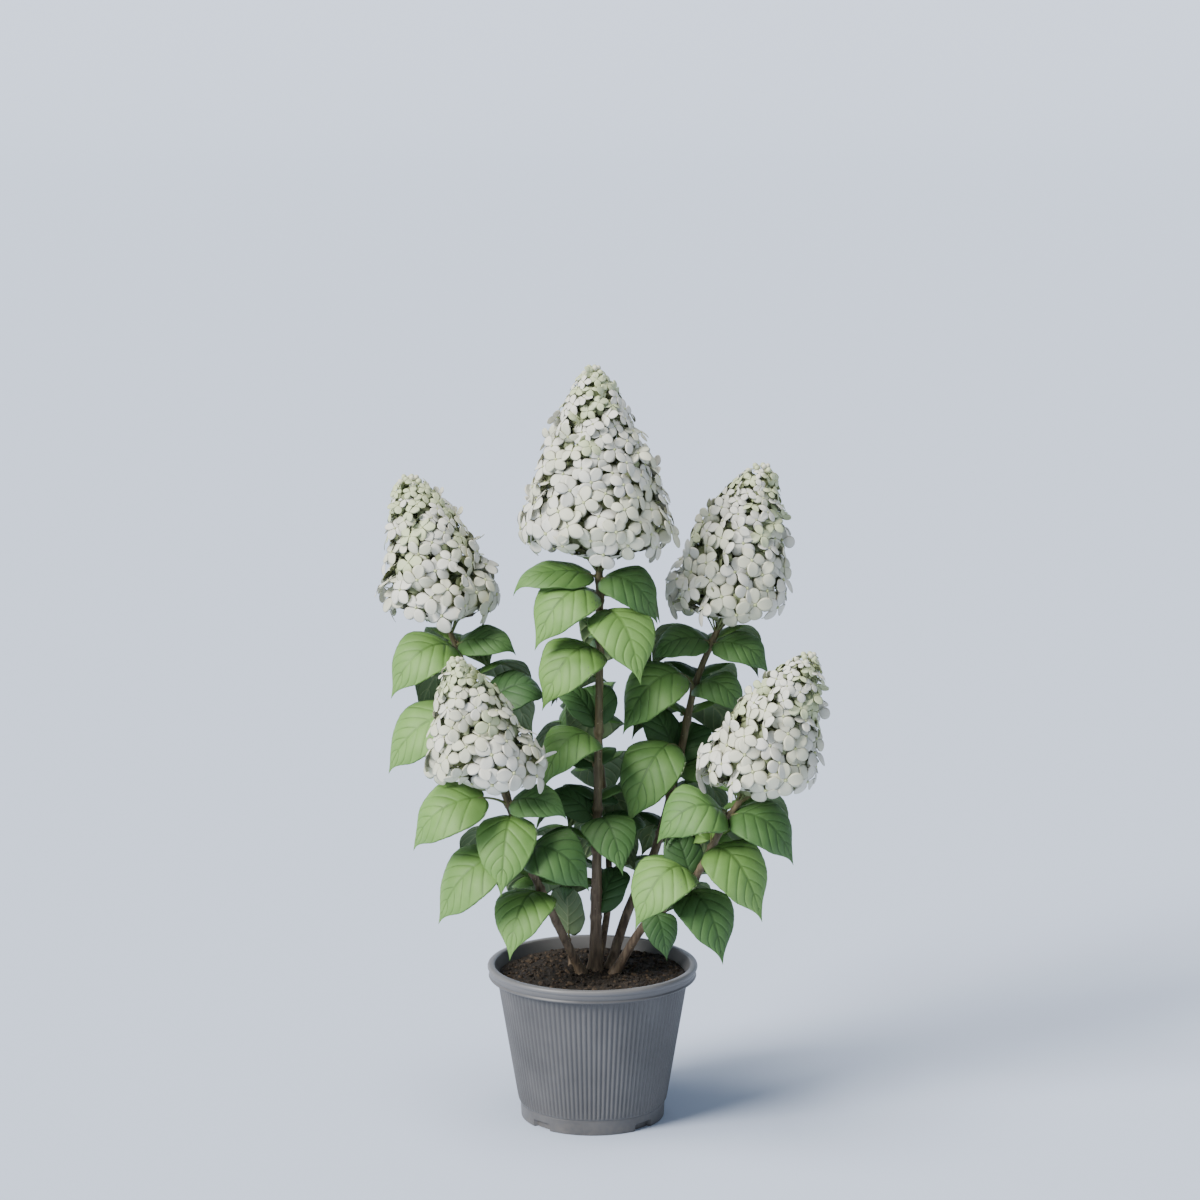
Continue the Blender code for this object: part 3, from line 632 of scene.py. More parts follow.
def compost_material(name, dark, light):
    """Damp bark and peat, dull and crumbly."""
    skin = Skin(name)
    skin.shade("Base Color", skin.spotted(skin.noise(210.0, 8.0), dark, light))
    skin.shade("Roughness", 0.92)
    skin.bump(skin.noise(800.0, 6.0), 0.9, 0.0015)
    return skin.made


# Grown materials: two colors, spots to a metre, roughness, grains to a metre, their strength
# Lit and shaded copies of one leaf green, from light to deep: painted light and shade
LIT_AND_SHADED_GREENS = {
    "L": ((0.142, 0.285, 0.062), (0.176, 0.328, 0.082)),
    "M": ((0.094, 0.206, 0.048), (0.122, 0.243, 0.062)),
    "S": ((0.067, 0.155, 0.040), (0.088, 0.187, 0.052)),
    "D": ((0.043, 0.108, 0.031), (0.058, 0.134, 0.041)),
}
# Painted shade: the upper veins take a darker copy of the blade's green, as if shaded in their grooves
VEIN_PAINTED_SHADE = 0.62
LEAF_ROWS = {}
for tone, (first, second) in LIT_AND_SHADED_GREENS.items():
    painted_vein_shade = tuple(VEIN_PAINTED_SHADE * c for c in first)
    LEAF_ROWS[f"leaf_{tone}"] = (first, second, 38, 0.57, 1500, 0.35)
    LEAF_ROWS[f"leaf_{tone}_vein"] = (painted_vein_shade, first, 60, 0.55, 1500, 0.2)
LEAF_ROWS["leaf_under"] = ((0.115, 0.175, 0.080), (0.140, 0.205, 0.095), 45, 0.68, 1200, 0.4)
LEAF_ROWS["leaf_under_vein"] = ((0.18, 0.24, 0.115), (0.21, 0.27, 0.135), 45, 0.6, 1200, 0.3)
LEAF_ROWS["leaf_stalk"] = ((0.13, 0.17, 0.06), (0.19, 0.18, 0.08), 90, 0.5, 900, 0.3)
PETAL_ROWS = {
    "petal_ivory": ((0.71, 0.695, 0.61), (0.665, 0.655, 0.55)),
    "petal_cream": ((0.66, 0.65, 0.505), (0.615, 0.62, 0.46)),
    "petal_young": ((0.57, 0.615, 0.38), (0.515, 0.57, 0.33)),
    # Painted shade: a dark colour for florets deep inside a bloom and hidden below it, where shade falls
    "petal_painted_shade": ((0.25, 0.28, 0.15), (0.2, 0.23, 0.115), 30, 0.66, 1400, 0.25),
    "floret_button": ((0.56, 0.59, 0.32), (0.48, 0.53, 0.26), 90, 0.5, 1400, 0.3),
    # Greener, darker claws at each floret's middle: partly their own tint, partly painted shade where the
    # sepals meet
    "petal_claw_tint_and_shade": ((0.42, 0.47, 0.23), (0.5, 0.53, 0.3), 120, 0.6, 1400, 0.25),
}
TWIG_ROWS = {
    "pedicel": ((0.18, 0.22, 0.09), (0.24, 0.28, 0.12), 90, 0.55, 1000, 0.3),
    "small_bud": ((0.5, 0.55, 0.3), (0.4, 0.47, 0.22), 90, 0.5, 1000, 0.3),
    "bloom_stem": ((0.115, 0.100, 0.044), (0.150, 0.135, 0.060), 90, 0.6, 1000, 0.3),
}
BARK_ROWS = {
    "breathing_pore": ((0.3, 0.24, 0.16), (0.24, 0.19, 0.13), 200, 0.8, 1500, 0.5),
    "bud_scale": ((0.16, 0.11, 0.055), (0.2, 0.15, 0.07), 150, 0.55, 1500, 0.3),
}


def grown(rows):
    return [grown_material(name, *row) for name, row in rows.items()]


LEAF_LOOKS = grown(LEAF_ROWS)
PETAL_LOOKS = grown(PETAL_ROWS)
TWIG_LOOKS = grown(TWIG_ROWS)
BARK_LOOKS = [bark_material(), *grown(BARK_ROWS)]

# The number of each look on the pieces that have it
LOOK = {
    name: number
    for names in (LEAF_ROWS, PETAL_ROWS, TWIG_ROWS, ["cane_bark", *BARK_ROWS])
    for number, name in enumerate(names)
}


# Meshes from arrays

TUBE_SIDEWAYS = (0.31, 0.87, 0.38)
NEARLY_UP = UP + 0.01 * np.array([1.0, 2.0, 0.0])


def grid_quads(rows, columns, wrap=False):
    """Faces of a grid of points, closed round its columns if wrap."""
    i, j = np.meshgrid(np.arange(rows - 1), np.arange(columns if wrap else columns - 1), indexing="ij")
    k = (j + 1) % columns
    here = i * columns
    ahead = here + columns
    return np.stack([here + j, here + k, ahead + k, ahead + j], -1).reshape(-1, 4)


def sheet_faces(rows, columns):
    """The upper and lower faces of a thin closed sheet, and the points that they don't share."""
    inside = np.zeros((rows, columns), bool)
    inside[1:-1, 1:-1] = True
    below = np.arange(rows * columns).reshape(rows, columns)
    below[inside] = rows * columns + np.arange(inside.sum())
    quads = grid_quads(rows, columns)
    return quads, below.reshape(-1)[quads][:, ::-1], inside


def ball_template(level):
    """The points and the triangles of a unit ball."""
    bm = bmesh.new()
    bmesh.ops.create_icosphere(bm, subdivisions=level, radius=1.0)
    points = np.array([v.co[:] for v in bm.verts])
    faces = np.array([[v.index for v in f.verts] for f in bm.faces])
    bm.free()
    return points, faces


BALL = ball_template(1)
FINE_BALL = ball_template(2)


def basis(normal, spin=0.0):
    """Three directions, the last along normal, turned about it by spin."""
    normal = unit(normal)
    across = unit(np.cross(normal, NEARLY_UP))
    other = np.cross(normal, across)
    turned = math.cos(spin) * across + math.sin(spin) * other
    return np.stack([turned, np.cross(normal, turned), normal])


class Heap:
    """Gathers many small things into one mesh."""

    def __init__(self):
        self.points = []
        self.faces = []
        self.looks = []
        self.count = 0

    def add(self, points, faces, look):
        self.faces += (np.asarray(faces) + self.count).tolist()
        self.looks.append(np.broadcast_to(look, len(faces)))
        self.points.append(np.asarray(points))
        self.count += len(points)

    def add_rings(self, points, sides, look):
        """Adds rings of points as a skin with flat ends."""
        first = self.count
        last = first + len(points) - sides
        self.add(points, grid_quads(len(points) // sides, sides, wrap=True), look)
        self.faces.append(list(range(first, first + sides))[::-1])
        self.faces.append(list(range(last, last + sides)))
        self.looks.append(np.broadcast_to(look, 2))

    def add_tube(self, line, radii, sides, look):
        """Adds a tube along a line of points. radii is one a ring or one a corner."""
        line = np.asarray(line)
        tangent = np.gradient(line, axis=0)
        tangent /= np.linalg.norm(tangent, axis=1)[:, None]
        across = np.cross(tangent[0], TUBE_SIDEWAYS)
        angles = all_round(sides)
        radii = np.broadcast_to(np.asarray(radii, float).reshape(len(line), -1), (len(line), sides))
        rings = []
        for point, along, reach in zip(line, tangent, radii):
            across = unit(across - (across @ along) * along)
            sideways = (reach * np.cos(angles))[:, None] * across
            rings.append(point + sideways + (reach * np.sin(angles))[:, None] * np.cross(along, across))
        self.add_rings(np.concatenate(rings), sides, look)

    def add_ball(self, ball, middle, size, axes, look, shape=(1, 1, 1)):
        """Adds a ball, stretched by size and by shape along its axes."""
        points, faces = ball
        self.add(middle + (points * size * shape) @ axes, faces, look)

    def piece(self, name, looks, replaced):
        """Makes the mesh, in place of the nodes named."""
        mesh = bpy.data.meshes.new(name)
        mesh.from_pydata(np.concatenate(self.points).tolist(), [], self.faces)
        for look in looks:
            mesh.materials.append(look)
        mesh.polygons.foreach_set("material_index", np.concatenate(self.looks).astype(np.int32))
        mesh.shade_smooth()
        mesh.update()
        made = link(name, mesh)
        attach(made, "root")
        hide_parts(*replaced)
        return made


# Leaves

# The grid of a blade, and how deep its veins, ribs and waves are
VEINS = 6
VEIN_STEPS = (0.0, 0.06, 0.25, 0.50, 0.75, 0.94)
ACROSS = (0.0, 0.045, 0.14, 0.30, 0.48, 0.66, 0.82, 0.94, 1.0)
VEIN_SPREAD = 1.08
VEIN_SWEEP = 0.84
VEIN_BEND = 1.15
VEIN_DEPTH = 0.00045
MIDRIB_DEPTH = 1.3 * VEIN_DEPTH
PILLOW = 0.00085
LEAF_THICKNESS = 0.00045
MIDRIB = 0.0011
MIDRIB_WIDTH = 0.10
SIDE_RIB = 0.00035
WAVE_DEPTH = (0.0004, 0.0011)
WAVE_TURNS = (2.0, 3.2)
BULGE = 0.07

# The outline of a drawn blade, as shares of its length
LONGEST_DRAWN = 0.126
DRAWN_PLACES = 60
DRAWN_WIDTH = 0.65
DRAWN_WIDEST = 0.32
DRAWN_FALL = 1.75
BASE_WIDTH = 0.60
BASE_CORNER = 0.062
LOBE = 0.034
LOBE_END = 0.12
TOOTH = 0.014
TIP_START = 0.50
TIP_PINCH = 0.70
TIP_WIDTH = 0.0002

# A leaf's stalk, and how deep it ends in the blade
STALK_RADII = 0.0016 * np.array([1.7, 1.35, 1.1, 1.0, 0.95, 0.92, 0.88, 0.8, 0.45])
STALK_SIDES = 8
INTO_BLADE = 0.0008

# Tones of the leaves that don't show: painted shade darker near the middle, partly also older leaves
FAR_OUT = 0.15
BLADE_MIDDLE = 0.6
OTHER_TONE = 0.25


def leaf_template():
    """The grid of a blade: rows follow the side veins, columns the midrib."""
    phase = np.array([k + f for k in range(VEINS + 1) for f in VEIN_STEPS] + [VEINS + 1.0])[:, None]
    across = np.array([-a for a in ACROSS[:0:-1]] + list(ACROSS))
    u = (phase / (VEINS + 1)) ** VEIN_SPREAD
    away = np.abs(across)
    share = u + VEIN_SWEEP * (np.sqrt(u) * (1 - u)) * away ** VEIN_BEND
    back = BASE_CORNER * away ** 6 - LOBE * np.sin(math.pi * away ** 0.7)
    share += np.clip(1 - u / LOBE_END, 0, 1) ** 1.5 * back
    toothed = 1 + TOOTH * (np.arange(len(u)) % 2)[:, None] * (away > 0.99)
    distance = np.minimum(np.abs(phase - np.clip(np.round(phase), 1, VEINS)), 0.5)
    shrink = (1 - u) ** 0.4 * np.minimum(u / 0.06, 1)
    on_vein = (distance < 0.01) & (away > 0.02) & (away < 0.95)
    relief = PILLOW * np.sin(math.pi * distance) * np.sin(math.pi * away) ** 0.6 * shrink
    relief -= VEIN_DEPTH * on_vein * shrink
    relief -= MIDRIB_DEPTH * (away < 0.01) * (1 - u) ** 0.3
    upper, lower, inside = sheet_faces(*share.shape)
    row, column = np.divmod(upper[:, 0], len(across))
    outer = np.maximum(away[column], away[column + 1])
    near_vein = distance[:, 0] < 0.07
    vein = near_vein[row] & near_vein[row + 1] & (outer < 0.96) | (outer < 0.05)
    return {
        "share": share, "across": across * toothed, "relief": relief, "on_vein": on_vein,
        "vein": vein, "faces": np.concatenate([upper, lower]), "inside": inside,
    }


LEAF = leaf_template()


def drawn_width(share):
    """Half of the drawn blade's width: broad from the base, pinched to a fine tip."""
    rise = BASE_WIDTH + (1 - BASE_WIDTH) * np.sin(0.5 * math.pi * np.clip(share / DRAWN_WIDEST, 0, 1))
    onward = np.clip((share - DRAWN_WIDEST) / (1 - DRAWN_WIDEST), 0, 1)
    near_tip = np.clip((onward - TIP_START) / (1 - TIP_START), 0, 1)
    pinch = 1 - TIP_PINCH * near_tip ** 2 * (3 - 2 * near_tip)
    return 0.5 * DRAWN_WIDTH * rise * (1 - onward ** DRAWN_FALL) * pinch


def add_leaf(heap, root, shape, tone, rng):
    """One leaf: a stalk, and a thin closed blade with pressed veins, painted darker on the upper face as
    shade in their grooves.
    """
    lines = leaf_lines(root, *shape, DRAWN_PLACES, LONGEST_DRAWN)
    share = LEAF["share"]
    away = np.minimum(np.abs(LEAF["across"]), 1)
    middle = between(share, lines["shares"], lines["middle"])
    face = between(share, lines["shares"], lines["face"])
    start = lines["middle"][1] - lines["middle"][0]
    start *= lines["length"] / np.linalg.norm(start)
    middle = middle + np.minimum(share, 0)[..., None] * start
    width = np.maximum(drawn_width(share) * lines["length"], TIP_WIDTH)
    depth = rng.uniform(*WAVE_DEPTH)
    turns = rng.uniform(*WAVE_TURNS) * share + rng.uniform()
    wave = depth * away ** 3 * np.sin(2 * math.pi * turns) * np.minimum(width / 0.01, 1)
    bulge = BULGE * width * np.sin(math.pi * away)
    lift = LEAF["relief"] * (lines["length"] / BLADE_LENGTH) + bulge + wave - CUP * width * away
    top = middle + (LEAF["across"] * width)[..., None] * lines["side"] + lift[..., None] * face
    rib = MIDRIB * np.maximum(1 - away / MIDRIB_WIDTH, 0) * np.clip(1 - share, 0, 1) ** 0.7
    thick = LEAF_THICKNESS + rib + SIDE_RIB * LEAF["on_vein"] * (1 - share)
    under = top - thick[..., None] * face
    points = np.concatenate([top.reshape(-1, 3), under[LEAF["inside"]]])
    # Upper veins in the darker vein colour, painted shade; the underside's paler veins are their own
    # colour
    look = np.where(LEAF["vein"], LOOK[f"leaf_{tone}_vein"], LOOK[f"leaf_{tone}"])
    under_look = np.where(LEAF["vein"], LOOK["leaf_under_vein"], LOOK["leaf_under"])
    heap.add(points, LEAF["faces"], np.concatenate([look, under_look]))
    on_top = lines["middle"][0] - 0.5 * INTO_BLADE * lines["face"][0]
    into = lines["middle"][3] - INTO_BLADE * lines["face"][3]
    line = smooth_curve([*lines["stalk"][:3], on_top, into], len(STALK_RADII))
    heap.add_tube(line, STALK_RADII, STALK_SIDES, LOOK["leaf_stalk"])


def back_age_and_shade(root, shape, rng):
    """The tone of a leaf that doesn't show: mostly light far out and mid near the middle, as painted
    shade inside the crown and partly as older leaves.
    """
    x = root[0] + BLADE_MIDDLE * shape[1] * math.cos(math.radians(shape[0]))
    tone = "L" if math.hypot(x, root[1]) > FAR_OUT else "M"
    if rng.uniform() < OTHER_TONE:
        tone = "D" if tone == "M" else "M"
    return tone


def build_leaves(placed):
    """One piece of leaves for each leafy node."""
    rng = np.random.default_rng(SEED + 1)
    for node, leaves in placed.items():
        heap = Heap()
        for _, root, shape, tone in leaves:
            add_leaf(heap, root, shape, tone or back_age_and_shade(root, shape, rng), rng)
        heap.piece("leaves_" + node.removeprefix("shoot_"), LEAF_LOOKS, [node])


# Canes

# Bark: how deep it starts, where it swells, and its ridges
CANE_SIDES = 20
SUNK = 0.006
SUNK_SWELL = 1.05
FORK_SWELL = 0.35
FORK_FADE = 0.006
JOINT_SWELL = 0.16
JOINT_FADE = 0.0035
RIDGE_DEPTH = 0.00042
RIDGED_RADIUS = 0.006
SMOOTH_HEIGHT = 0.45

# Small things on the bark
PORES_PER_METRE = 170
PORE_SIZE = np.array([0.00035, 0.0006, 0.0011])
PORE_OUT = 0.0001
BUD_SIZE = np.array([0.0013, 0.0012, 0.0030])
BUD_LIFT = 0.0032
BUD_OUT = 0.0008


def add_bark(heap, cane, joints, rng):
    """A cane's skin, swollen at its foot and leaves, with ridges that fade upwards."""
    stops = np.linspace(0, cane.length, int(cane.length / STEP) + 1)
    line = np.array([cane.point(s) for s in stops])
    radius = np.array([cane.radius(s) for s in stops])
    if cane.is_bough:
        radius *= 1 + FORK_SWELL * np.exp(-stops / FORK_FADE)
    else:
        radius *= 1 + FLARE * np.exp(-stops / (0.6 * FLARE_HEIGHT))
        line = np.vstack([line[0] - SUNK * UP, line])
        radius = np.concatenate([[radius[0] * SUNK_SWELL], radius])
        stops = np.concatenate([[-SUNK], stops])
    for root, _ in joints:
        radius *= 1 + JOINT_SWELL * np.exp(-(((stops - cane.at_height(root[2])) / JOINT_FADE) ** 2))
    phases = rng.uniform(0, 2 * math.pi, 4)
    s = stops[:, None]
    a = all_round(CANE_SIDES)
    ridges = 0.5 * np.sin(5 * a + 9 * np.sin(24 * s + phases[0]) + phases[1])
    ridges += 0.3 * np.sin(9 * a - 40 * s + phases[2]) + 0.2 * np.sin(3 * a + 70 * s + phases[3])
    ridges += 0.35 * rng.uniform(-1, 1, ridges.shape)
    age = np.clip(1 - line[:, 2:3] / SMOOTH_HEIGHT, 0.15, 1)
    relief = RIDGE_DEPTH * age * ridges * (radius[:, None] / RIDGED_RADIUS)
    heap.add_tube(line, radius[:, None] + relief, CANE_SIDES, LOOK["cane_bark"])


def add_pores_and_buds(heap, cane, joints, rng):
    """Breathing pores all over a cane, and a bud close above each leaf's stalk."""
    for _ in range(int(cane.length * PORES_PER_METRE)):
        s = rng.uniform(0.004, cane.length)
        axes = basis(cane.tangent(s), rng.uniform(0, 2 * math.pi))
        middle = cane.point(s) + (cane.radius(s) + PORE_OUT) * axes[0]
        heap.add_ball(BALL, middle, PORE_SIZE * rng.uniform(0.7, 1.3), axes, LOOK["breathing_pore"])
    for root, shape in joints:
        s = cane.at_height(root[2])
        along = cane.tangent(s)
        out = outward(math.radians(shape[0]))
        out -= (out @ along) * along
        middle = root + BUD_LIFT * along + (cane.radius(s) + BUD_OUT) * out
        axes = np.stack([np.cross(along, out), out, along])
        heap.add_ball(FINE_BALL, middle, BUD_SIZE, axes, LOOK["bud_scale"])


def build_canes(canes, placed):
    """One piece of bark for each cane."""
    rng = np.random.default_rng(SEED + 2)
    joints = {name: [] for name in canes}
    for leaves in placed.values():
        for name, root, shape, _ in leaves:
            joints[name].append((root, shape))
    for name, cane in canes.items():
        heap = Heap()
        add_bark(heap, cane, joints[name], rng)
        add_pores_and_buds(heap, cane, joints[name], rng)
        heap.piece("stem_" + name, BARK_LOOKS, [node for node, _ in cane.nodes])


# Blooms

# Layers of florets: cover, share of the radius, lowest, highest, size and radius of the stalks
PEDICEL = 0.0009
INNER_TOP = 0.93
LAYERS = {
    "outer": (1.20, 0.975, LOWEST_FLORET, 0.965, 1.0, PEDICEL),
    "inner": (0.85, 0.80, 0.13, INNER_TOP, 0.95, 0.0007),
}
SINK = (-0.05, 0.0, 0.03)
TILT = (0.22, 0.46, 0.22)
LIFT = 0.14
HIGHEST = 0.97

# Florets below and hidden inside, and buds at the tip and between florets
UNDER_FLORETS = 8
UNDER_H = 0.06
UNDER_SHARE = 0.62
HIDDEN_FLORETS = 7
HIDDEN_H = 0.09
HIDDEN_SHARE = 0.46
HIDDEN_START = 0.5
TIP_BUDS = 12
TIP_BUD_TURN = 2.4
TIP_BUD_SHARE = 0.75
BUD_TURN = 1.3
BUD_SHARE = (0.74, 0.86)
BUD_RADIUS = (0.0014, 0.0024)

# Sepals: all but the thickness is a share of the length
SEPAL_ROWS = np.array([0.0, 0.10, 0.20, 0.34, 0.50, 0.66, 0.80, 0.91, 0.975, 1.0])
SEPAL_COLUMNS = np.array([-1.0, -0.62, -0.22, 0.22, 0.62, 1.0])
COARSE_ROWS = np.array([0.0, 0.25, 0.55, 0.85, 1.0])
COARSE_COLUMNS = np.array([-1.0, -0.35, 0.35, 1.0])
SEPAL_THICKNESS = 0.00035
SEPAL_ROUND = 0.425
CLAW_END = 0.15
CLAW_WIDTH = 0.085
EDGE_WIDTH = 0.05
PAIRS_APART = 0.035
FLUTTER = 0.014
CREASE = 0.020
BUTTON = 0.095
BUTTON_LIFT = 0.04

# Chance of a sepal: its length and breadth, how much it rises, curls back and folds
SEPAL_CHANCE = ((0.93, 1.06), (0.92, 1.08), (0.18, 0.36), (0.34, 0.62), (-0.55, 0.15))

# Twigs: radii, and how far below a floret or the cane's tip a stalk starts
BUD_PEDICEL = 0.0005
HIDDEN_PEDICEL = 0.0008
PEDICEL_RUN = 0.16
PEDICEL_BEND = 0.45
LOWEST_START = 0.014
RACHIS_TIP = 0.0009
RACHIS_TOP = 0.97


def sepal_grid(rows, columns):
    """A sepal's places along t and across b, its width and its faces, with a narrow claw."""
    t, b = np.meshgrid(rows, columns, indexing="ij")
    disc = SEPAL_ROUND ** 2 - (t - 1 + SEPAL_ROUND) ** 2
    width = np.maximum(np.sqrt(np.maximum(disc, 0)), np.where(t < 0.5, CLAW_WIDTH, EDGE_WIDTH))
    upper, lower, inside = sheet_faces(*t.shape)
    claw = t.reshape(-1)[upper].mean(axis=1) < CLAW_END
    return t, b, width, np.concatenate([upper, lower]), inside, np.tile(claw, 2)


FINE_SEPAL = sepal_grid(SEPAL_ROWS, SEPAL_COLUMNS)
COARSE_SEPAL = sepal_grid(COARSE_ROWS, COARSE_COLUMNS)


def add_floret(heap, middle, normal, size, name, rng):
    """Four sepals in crossed pairs. An inner floret, in the painted-shade colour, is coarser and has no
    button.
    """
    is_fine = name != "petal_painted_shade"
    t, b, width, faces, inside, claw = FINE_SEPAL if is_fine else COARSE_SEPAL
    # Claw faces of fine florets take the claw colour: partly its own tint, partly painted shade
    looks = np.where(claw & is_fine, LOOK["petal_claw_tint_and_shade"], LOOK[name])
    spin = rng.uniform(0, math.pi / 2)
    for k in range(4):
        axes = basis(normal, spin + k * math.pi / 2 + rng.uniform(-0.14, 0.14))
        long, broad, rise, curl, fold = (rng.uniform(*ends) for ends in SEPAL_CHANCE)
        length = size * long
        height = rise * t - curl * t ** 2 + fold * (b * width) ** 2
        height += PAIRS_APART * (1 if k % 2 else -1) * np.minimum(t / 0.3, 1)
        height += FLUTTER * np.sin(4.5 * b + rng.uniform(0, ANY_TURN)) * t
        height -= CREASE * np.exp(-((b / 0.3) ** 2)) * np.sin(math.pi * t)
        out = (t * length)[..., None] * axes[0]
        sideways = (b * width * (length * broad))[..., None] * axes[1]
        top = middle + out + sideways + (height * length)[..., None] * axes[2]
        under = top - SEPAL_THICKNESS * axes[2]
        heap.add(np.concatenate([top.reshape(-1, 3), under[inside]]), faces, looks)
    if is_fine:
        center = middle + BUTTON_LIFT * size * normal
        heap.add_ball(BALL, center, BUTTON * size, basis(normal), LOOK["floret_button"], (1, 1, 0.8))


def add_pedicel(heap, start, middle, normal, radius):
    """A thin stalk from the bloom's middle to the back of a floret."""
    end = middle - 0.0004 * normal
    bend = end - PEDICEL_BEND * np.linalg.norm(end - start) * normal
    t = np.linspace(0, 1, 6)[:, None]
    line = (1 - t) ** 2 * start + 2 * t * (1 - t) * bend + t ** 2 * end
    heap.add_tube(line, np.linspace(1.35, 0.8, 6) * radius, 4, LOOK["pedicel"])


def add_layer(florets, twigs, bloom, cane, layer, rng):
    """One layer of florets all round a bloom, each on its stalk."""
    cover, share, low, top, scale, stalk = LAYERS[layer]
    for i, (h, angle) in enumerate(bloom.places(cover, low, top)):
        depth = SINK[i % 3] + rng.uniform(-0.02, 0.02)
        h = min(max(h + rng.uniform(-0.008, 0.008), 0.0), HIGHEST)
        angle += rng.uniform(-0.06, 0.06)
        point, straight = bloom.frame(h, angle, share + depth)
        normal = unit(straight + TILT[i % 3] * rng.normal(size=3) + LIFT * UP)
        size = scale * (floret_size(h) * rng.uniform(0.90, 1.07))
        # Inner florets take the dark painted-shade colour
        name = "petal_painted_shade"
        if layer == "outer":
            draw = rng.uniform()
            name = "petal_cream" if draw < 0.35 + 0.3 * h else "petal_ivory"
            if draw < 0.9 * h ** 3:
                name = "petal_young"
        add_floret(florets, point, normal, size, name, rng)
        start = bloom.axis(h - PEDICEL_RUN)
        if h < 0.5 * PEDICEL_RUN:
            start = cane.point(cane.length - LOWEST_START * (1 - h / PEDICEL_RUN))
        add_pedicel(twigs, start, point, straight, stalk)


def build_bloom(name, bloom, cane):
    """One bloom: florets, buds, and the twigs that bear them."""
    rng = np.random.default_rng(SEED + 3 + len(name))
    florets = Heap()
    twigs = Heap()
    for angle in all_round(UNDER_FLORETS):
        point, normal = bloom.frame(UNDER_H, angle, UNDER_SHARE)
        normal = unit(0.5 * normal - UP + 0.15 * rng.normal(size=3))
        add_floret(florets, point, normal, FLORET_LOW, "petal_ivory", rng)
        add_pedicel(twigs, cane.point(cane.length - 0.01), point, normal, PEDICEL)
    for layer in LAYERS:
        add_layer(florets, twigs, bloom, cane, layer, rng)
    for k, h in enumerate(np.linspace(INNER_TOP, 1.0, TIP_BUDS)):
        point, normal = bloom.frame(min(h, 0.985), k * TIP_BUD_TURN, TIP_BUD_SHARE)
        radius = 0.0042 - 0.012 * (h - INNER_TOP)
        look = LOOK["petal_young" if k % 2 else "petal_cream"]
        florets.add_ball(FINE_BALL, point, radius, basis(normal), look, (1, 1, 1.15))
    for h, angle in bloom.places(1.0, LOWEST_FLORET, INNER_TOP):
        point, normal = bloom.frame(h, angle + BUD_TURN, rng.uniform(*BUD_SHARE))
        twigs.add_ball(BALL, point, rng.uniform(*BUD_RADIUS), np.eye(3), LOOK["small_bud"])
        add_pedicel(twigs, bloom.axis(h - 0.1), point, normal, BUD_PEDICEL)
    for angle in np.linspace(HIDDEN_START, HIDDEN_START + 2 * math.pi, HIDDEN_FLORETS, endpoint=False):
        point, normal = bloom.frame(HIDDEN_H, angle, HIDDEN_SHARE)
        # Hidden florets in the dark painted-shade colour
        add_floret(florets, point, normal, FLORET_LOW, "petal_painted_shade", rng)
        add_pedicel(twigs, cane.point(cane.length - 0.006), point, normal, HIDDEN_PEDICEL)
    rachis = [cane.point(cane.length - 0.004)]
    rachis += [bloom.axis(h) for h in np.linspace(0, RACHIS_TOP, 24)]
    radii = np.linspace(cane.tip_radius, RACHIS_TIP, len(rachis))
    twigs.add_tube(rachis, radii, 10, LOOK["bloom_stem"])
    replaced = ["bloom_" + name]
    florets.piece("florets_" + name, PETAL_LOOKS, replaced)
    twigs.piece("twigs_" + name, TWIG_LOOKS, replaced)


# Pot and compost

RIBS = 110
RIB_STEPS = 8
RIB_DEPTH = 0.0018
NOTCH_WIDTH = 0.027
NOTCH_HEIGHT = 0.0095
NOTCH_DEPTH = 0.006
NOTCH_CORNER = 0.003
MIDDLE_RADIUS = 0.030
UNDER_NOTCH = 0.003
EDGE_ROUND = 0.0015
FOOT_FLARE = 0.0008
FOOT_ROWS = (0.004, 0.0065, 0.0085, 0.0094, 0.0096, 0.0104, 0.013, 0.0165)
HOLLOW_ROW = 0.120

# Turns of the pot's outline, in tenths of a millimetre out and up from a corner
FOOT_TOP = ((9, -12), (6, -6), (6, 0))
WALL_FOOT = ((-6, 7), (0, 16))
WALL_END = ((-3, -22), (0, -6), (12, 0))
BEAD = ((-32, 0), (-20, 4), (-14, 13), (-16, 24), (-26, 31), (-28, 40), (-20, 47))
BAND = ((-16, -75), (-18, -66), (-6, -58), (0, -44), (0, -30), (-5, -15), (-15, -4), (-30, 0))
LIP = ((22, 0), (8, -6), (0, -20), (-2, -60))

COMPOST_SIDES = 150
COMPOST_RINGS = 52
COMPOST_GAP = 0.0006
COMPOST_LUMPS = 0.0006
BELOW_EDGE = 0.003
CRUMBS = 1500
CHIP_SHARE = 0.35


def pot_inner_radius(z):
    """The radius of the pot's hollow at height z."""
    slope = (WALL_TOP_RADIUS - WALL_FOOT_RADIUS) / (WALL_TOP - FOOT_HEIGHT)
    return WALL_FOOT_RADIUS - WALL_THICKNESS + slope * (z - FOOT_HEIGHT)


def corner_rows(radius, height, steps, ribs=0):
    return [(radius + out / 10000, height + up / 10000, ribs) for out, up in steps]


